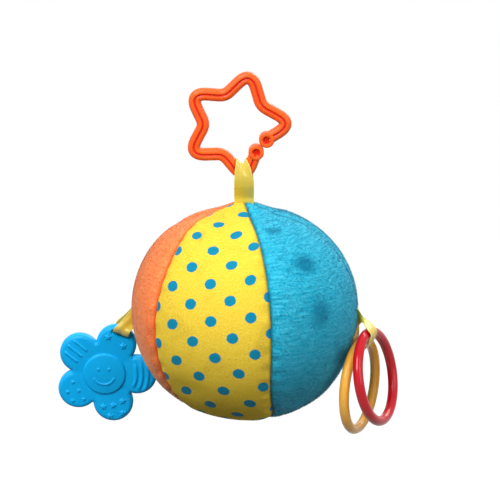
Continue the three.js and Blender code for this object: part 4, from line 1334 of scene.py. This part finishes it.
def left_ribbon_rows():
    """Front half from the tail through the air to the slot, bowed forward over the flower's bar, then
    the same behind the bar without the bow."""
    fold = FLOWER_DEPTH / 2 + PETAL_CROWN + CAD_RIBBON_THICKNESS / 2 + FIT_GAP
    slot_half = (SLOT_LENGTH - SLOT_WIDTH / 2) / 2
    foot = left_stitch - ACROSS[:, None] * np.array([0, 0, RIBBON_WIDTH / 2])
    layer = -layer_apart * np.array([-left_outward[1], left_outward[0], 0])
    in_slot = slot_centre + ACROSS[:, None] * slot_half * slot_across
    over_bar = in_slot + (SLOT_WIDTH + 1.2) * slot_up

    def half(side):
        """The stations of one leg, in front of the flower or behind it."""
        tail = foot + side * layer
        bow = LEFT_BOW if side > 0 else 1.0

        def shifted(points, depth):
            """Places moved towards this leg's side of the flower."""
            return points - side * depth * np.array([0, 1, 0])

        return [
            tail - RIBBON_TAIL * left_outward,
            tail,
            tail + 5 * FIT_GAP * left_outward,
            shifted(0.65 * over_bar + 0.35 * foot, 0.85 * fold),
            shifted(over_bar, bow * fold),
            shifted(in_slot + SLOT_WIDTH / 4 * slot_up, 1.1 * fold),
            shifted(in_slot, 0.8 * fold),
            shifted(in_slot, 0.3 * fold),
        ]

    stations = np.array(half(1) + half(-1)[::-1])
    rows = smooth_run(stations, 200)
    share = np.linspace(-1, 1, len(rows))[:, None]
    free = np.sin(math.pi * np.clip(np.abs(share) * 1.2 - 0.1, 0, 1))
    ripple = 0.18 * np.sin(4.5 * ACROSS + 6 * share) * free
    return rows + ripple[..., None] * surface_normals(rows)


left_shape, left_flat, left_length = strip(left_ribbon_rows())
ribbon_left = make_piece("ribbon_left_satin", left_shape, satin, uv=left_flat / UV_UNIT)
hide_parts("ribbon_left")
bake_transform(ribbon_left)

# Rings: two glossy plastic rings, one yellow and one red, moulded round in section, hanging side
# by side with their tops in the right ribbon's loop.
RING_RADIUS = 23.35
TUBE_RADIUS = 2.65
RING_TURN = math.radians(66)
RED_LEAN = math.radians(13)
RING_PLAY = 1.9
RING_FORWARD = 6.0
RING_DROP = 11.4
RING_STACK = math.radians(57)
RING_STEPS = 128
TUBE_SIDES = 40
PARTING_RIDGE = 0.05
UPWARD = np.array([0.0, 0.0, 1.0])
ring_along = np.array([math.cos(RING_TURN), math.sin(RING_TURN), 0.0])
ring_away = np.array([ring_along[1], -ring_along[0], 0.0])
ring_standoff = TUBE_RADIUS + CAD_RIBBON_THICKNESS + 2 * FIT_GAP + RING_PLAY
ring_spacing = 2 * TUBE_RADIUS + CAD_RIBBON_THICKNESS + 2 * FIT_GAP
yellow_top = right_stitch - RING_FORWARD * ring_along + ring_standoff * ring_away - RING_DROP * UPWARD
red_top = yellow_top + ring_spacing * (math.cos(RING_STACK) * ring_away + math.sin(RING_STACK) * UPWARD)


def ring_shape(top, lean):
    """A round tube carried round a circle that hangs from its top place and leans outwards, with
    the faint ridge of the mould's parting line round its outside."""
    down = -math.cos(lean) * UPWARD + math.sin(lean) * ring_away
    axis = unit(np.cross(ring_along, down))
    turn = full_turn(RING_STEPS)[:, None]
    around = full_turn(TUBE_SIDES)[None, :]
    tube = TUBE_RADIUS + PARTING_RIDGE * np.exp(-((wrapped(around) / 0.1) ** 2))
    reach = RING_RADIUS + tube * np.cos(around)
    spoke = np.cos(turn)[..., None] * ring_along + np.sin(turn)[..., None] * down
    points = top + RING_RADIUS * down + reach[..., None] * spoke + (tube * np.sin(around))[..., None] * axis
    quads = grid_quads(RING_STEPS + 1, TUBE_SIDES, True) % (RING_STEPS * TUBE_SIDES)
    return outward(points.reshape(-1, 3), quads, np.zeros((0, 3), int))


red_plastic = plastic("red_plastic", "c00c1e", "a80816", 0.13, gloss=0.4)
yellow_plastic = plastic("yellow_plastic", "f0b044", "e2a030", 0.16, gloss=0.35)
RINGS = (("red", red_top, RED_LEAN, red_plastic), ("yellow", yellow_top, 0.0, yellow_plastic))
for name, top, lean, look in RINGS:
    ring = make_piece(f"ring_{name}_tube", ring_shape(top, lean), look)
    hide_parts(f"ring_{name}")
    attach(ring, f"{name}_ring")

# Right ribbon: yellow satin sewn upright into the right seam, twisted outside so that its width
# lies along the two rings' tops, which it carries like a sling.
SLING_WIDTH = 8.0
TWIST_SHARE = 0.5
TWIST_RISE = 1.6
right_outward = ball_direction(np.array(math.pi / 2), np.array(SEAM_ANGLES[3]))


def right_ribbon_rows():
    """From the outer tail over and round the red ring's top, under the yellow ring's, and up
    between it and the ball to the inner tail."""
    layer = -layer_apart * np.array([-right_outward[1], right_outward[0], 0])
    around = TUBE_RADIUS + FIT_GAP + CAD_RIBBON_THICKNESS / 2
    foot = right_stitch + ACROSS[:, None] * np.array([0, 0, RIBBON_WIDTH / 2])
    across = ACROSS[:, None] * SLING_WIDTH / 2 * ring_along

    def beside(top, away, up):
        """The ribbon's width beside a ring's top, by shares of the bend round its tube."""
        return top + across + away * around * ring_away + up * around * UPWARD

    outer_tail, inner_tail = foot + layer, foot - layer
    midway = (outer_tail + beside(red_top, 0.5, 1.15)) / 2
    twist = midway.mean(0) + TWIST_SHARE * (midway - midway.mean(0)) + TWIST_RISE * UPWARD
    stations = np.array(
        [
            outer_tail - RIBBON_TAIL * right_outward,
            outer_tail,
            outer_tail + 4 * FIT_GAP * right_outward,
            twist,
            beside(red_top, 0.5, 1.15),
            beside(red_top, 1.15, 0.2),
            beside(red_top, 0.85, -0.9),
            beside(yellow_top, 0.95, -0.75),
            beside(yellow_top, 0.0, -1.1),
            beside(yellow_top, -0.85, -0.75),
            beside(yellow_top, -1.08, 0.0),
            beside(yellow_top, -0.8, 1.2),
            inner_tail + 3 * FIT_GAP * right_outward,
            inner_tail,
            inner_tail - RIBBON_TAIL * right_outward,
        ]
    )
    rows = smooth_run(stations, 240)
    share = np.linspace(0, 1, len(rows))[:, None]
    ripple = 0.12 * np.sin(4 * ACROSS + 9 * share) * np.sin(math.pi * share)
    return rows + ripple[..., None] * surface_normals(rows)


right_shape, right_flat, right_length = strip(right_ribbon_rows())
ribbon_right = make_piece("ribbon_right_satin", right_shape, satin, uv=right_flat / UV_UNIT)
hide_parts("ribbon_right")
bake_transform(ribbon_right)
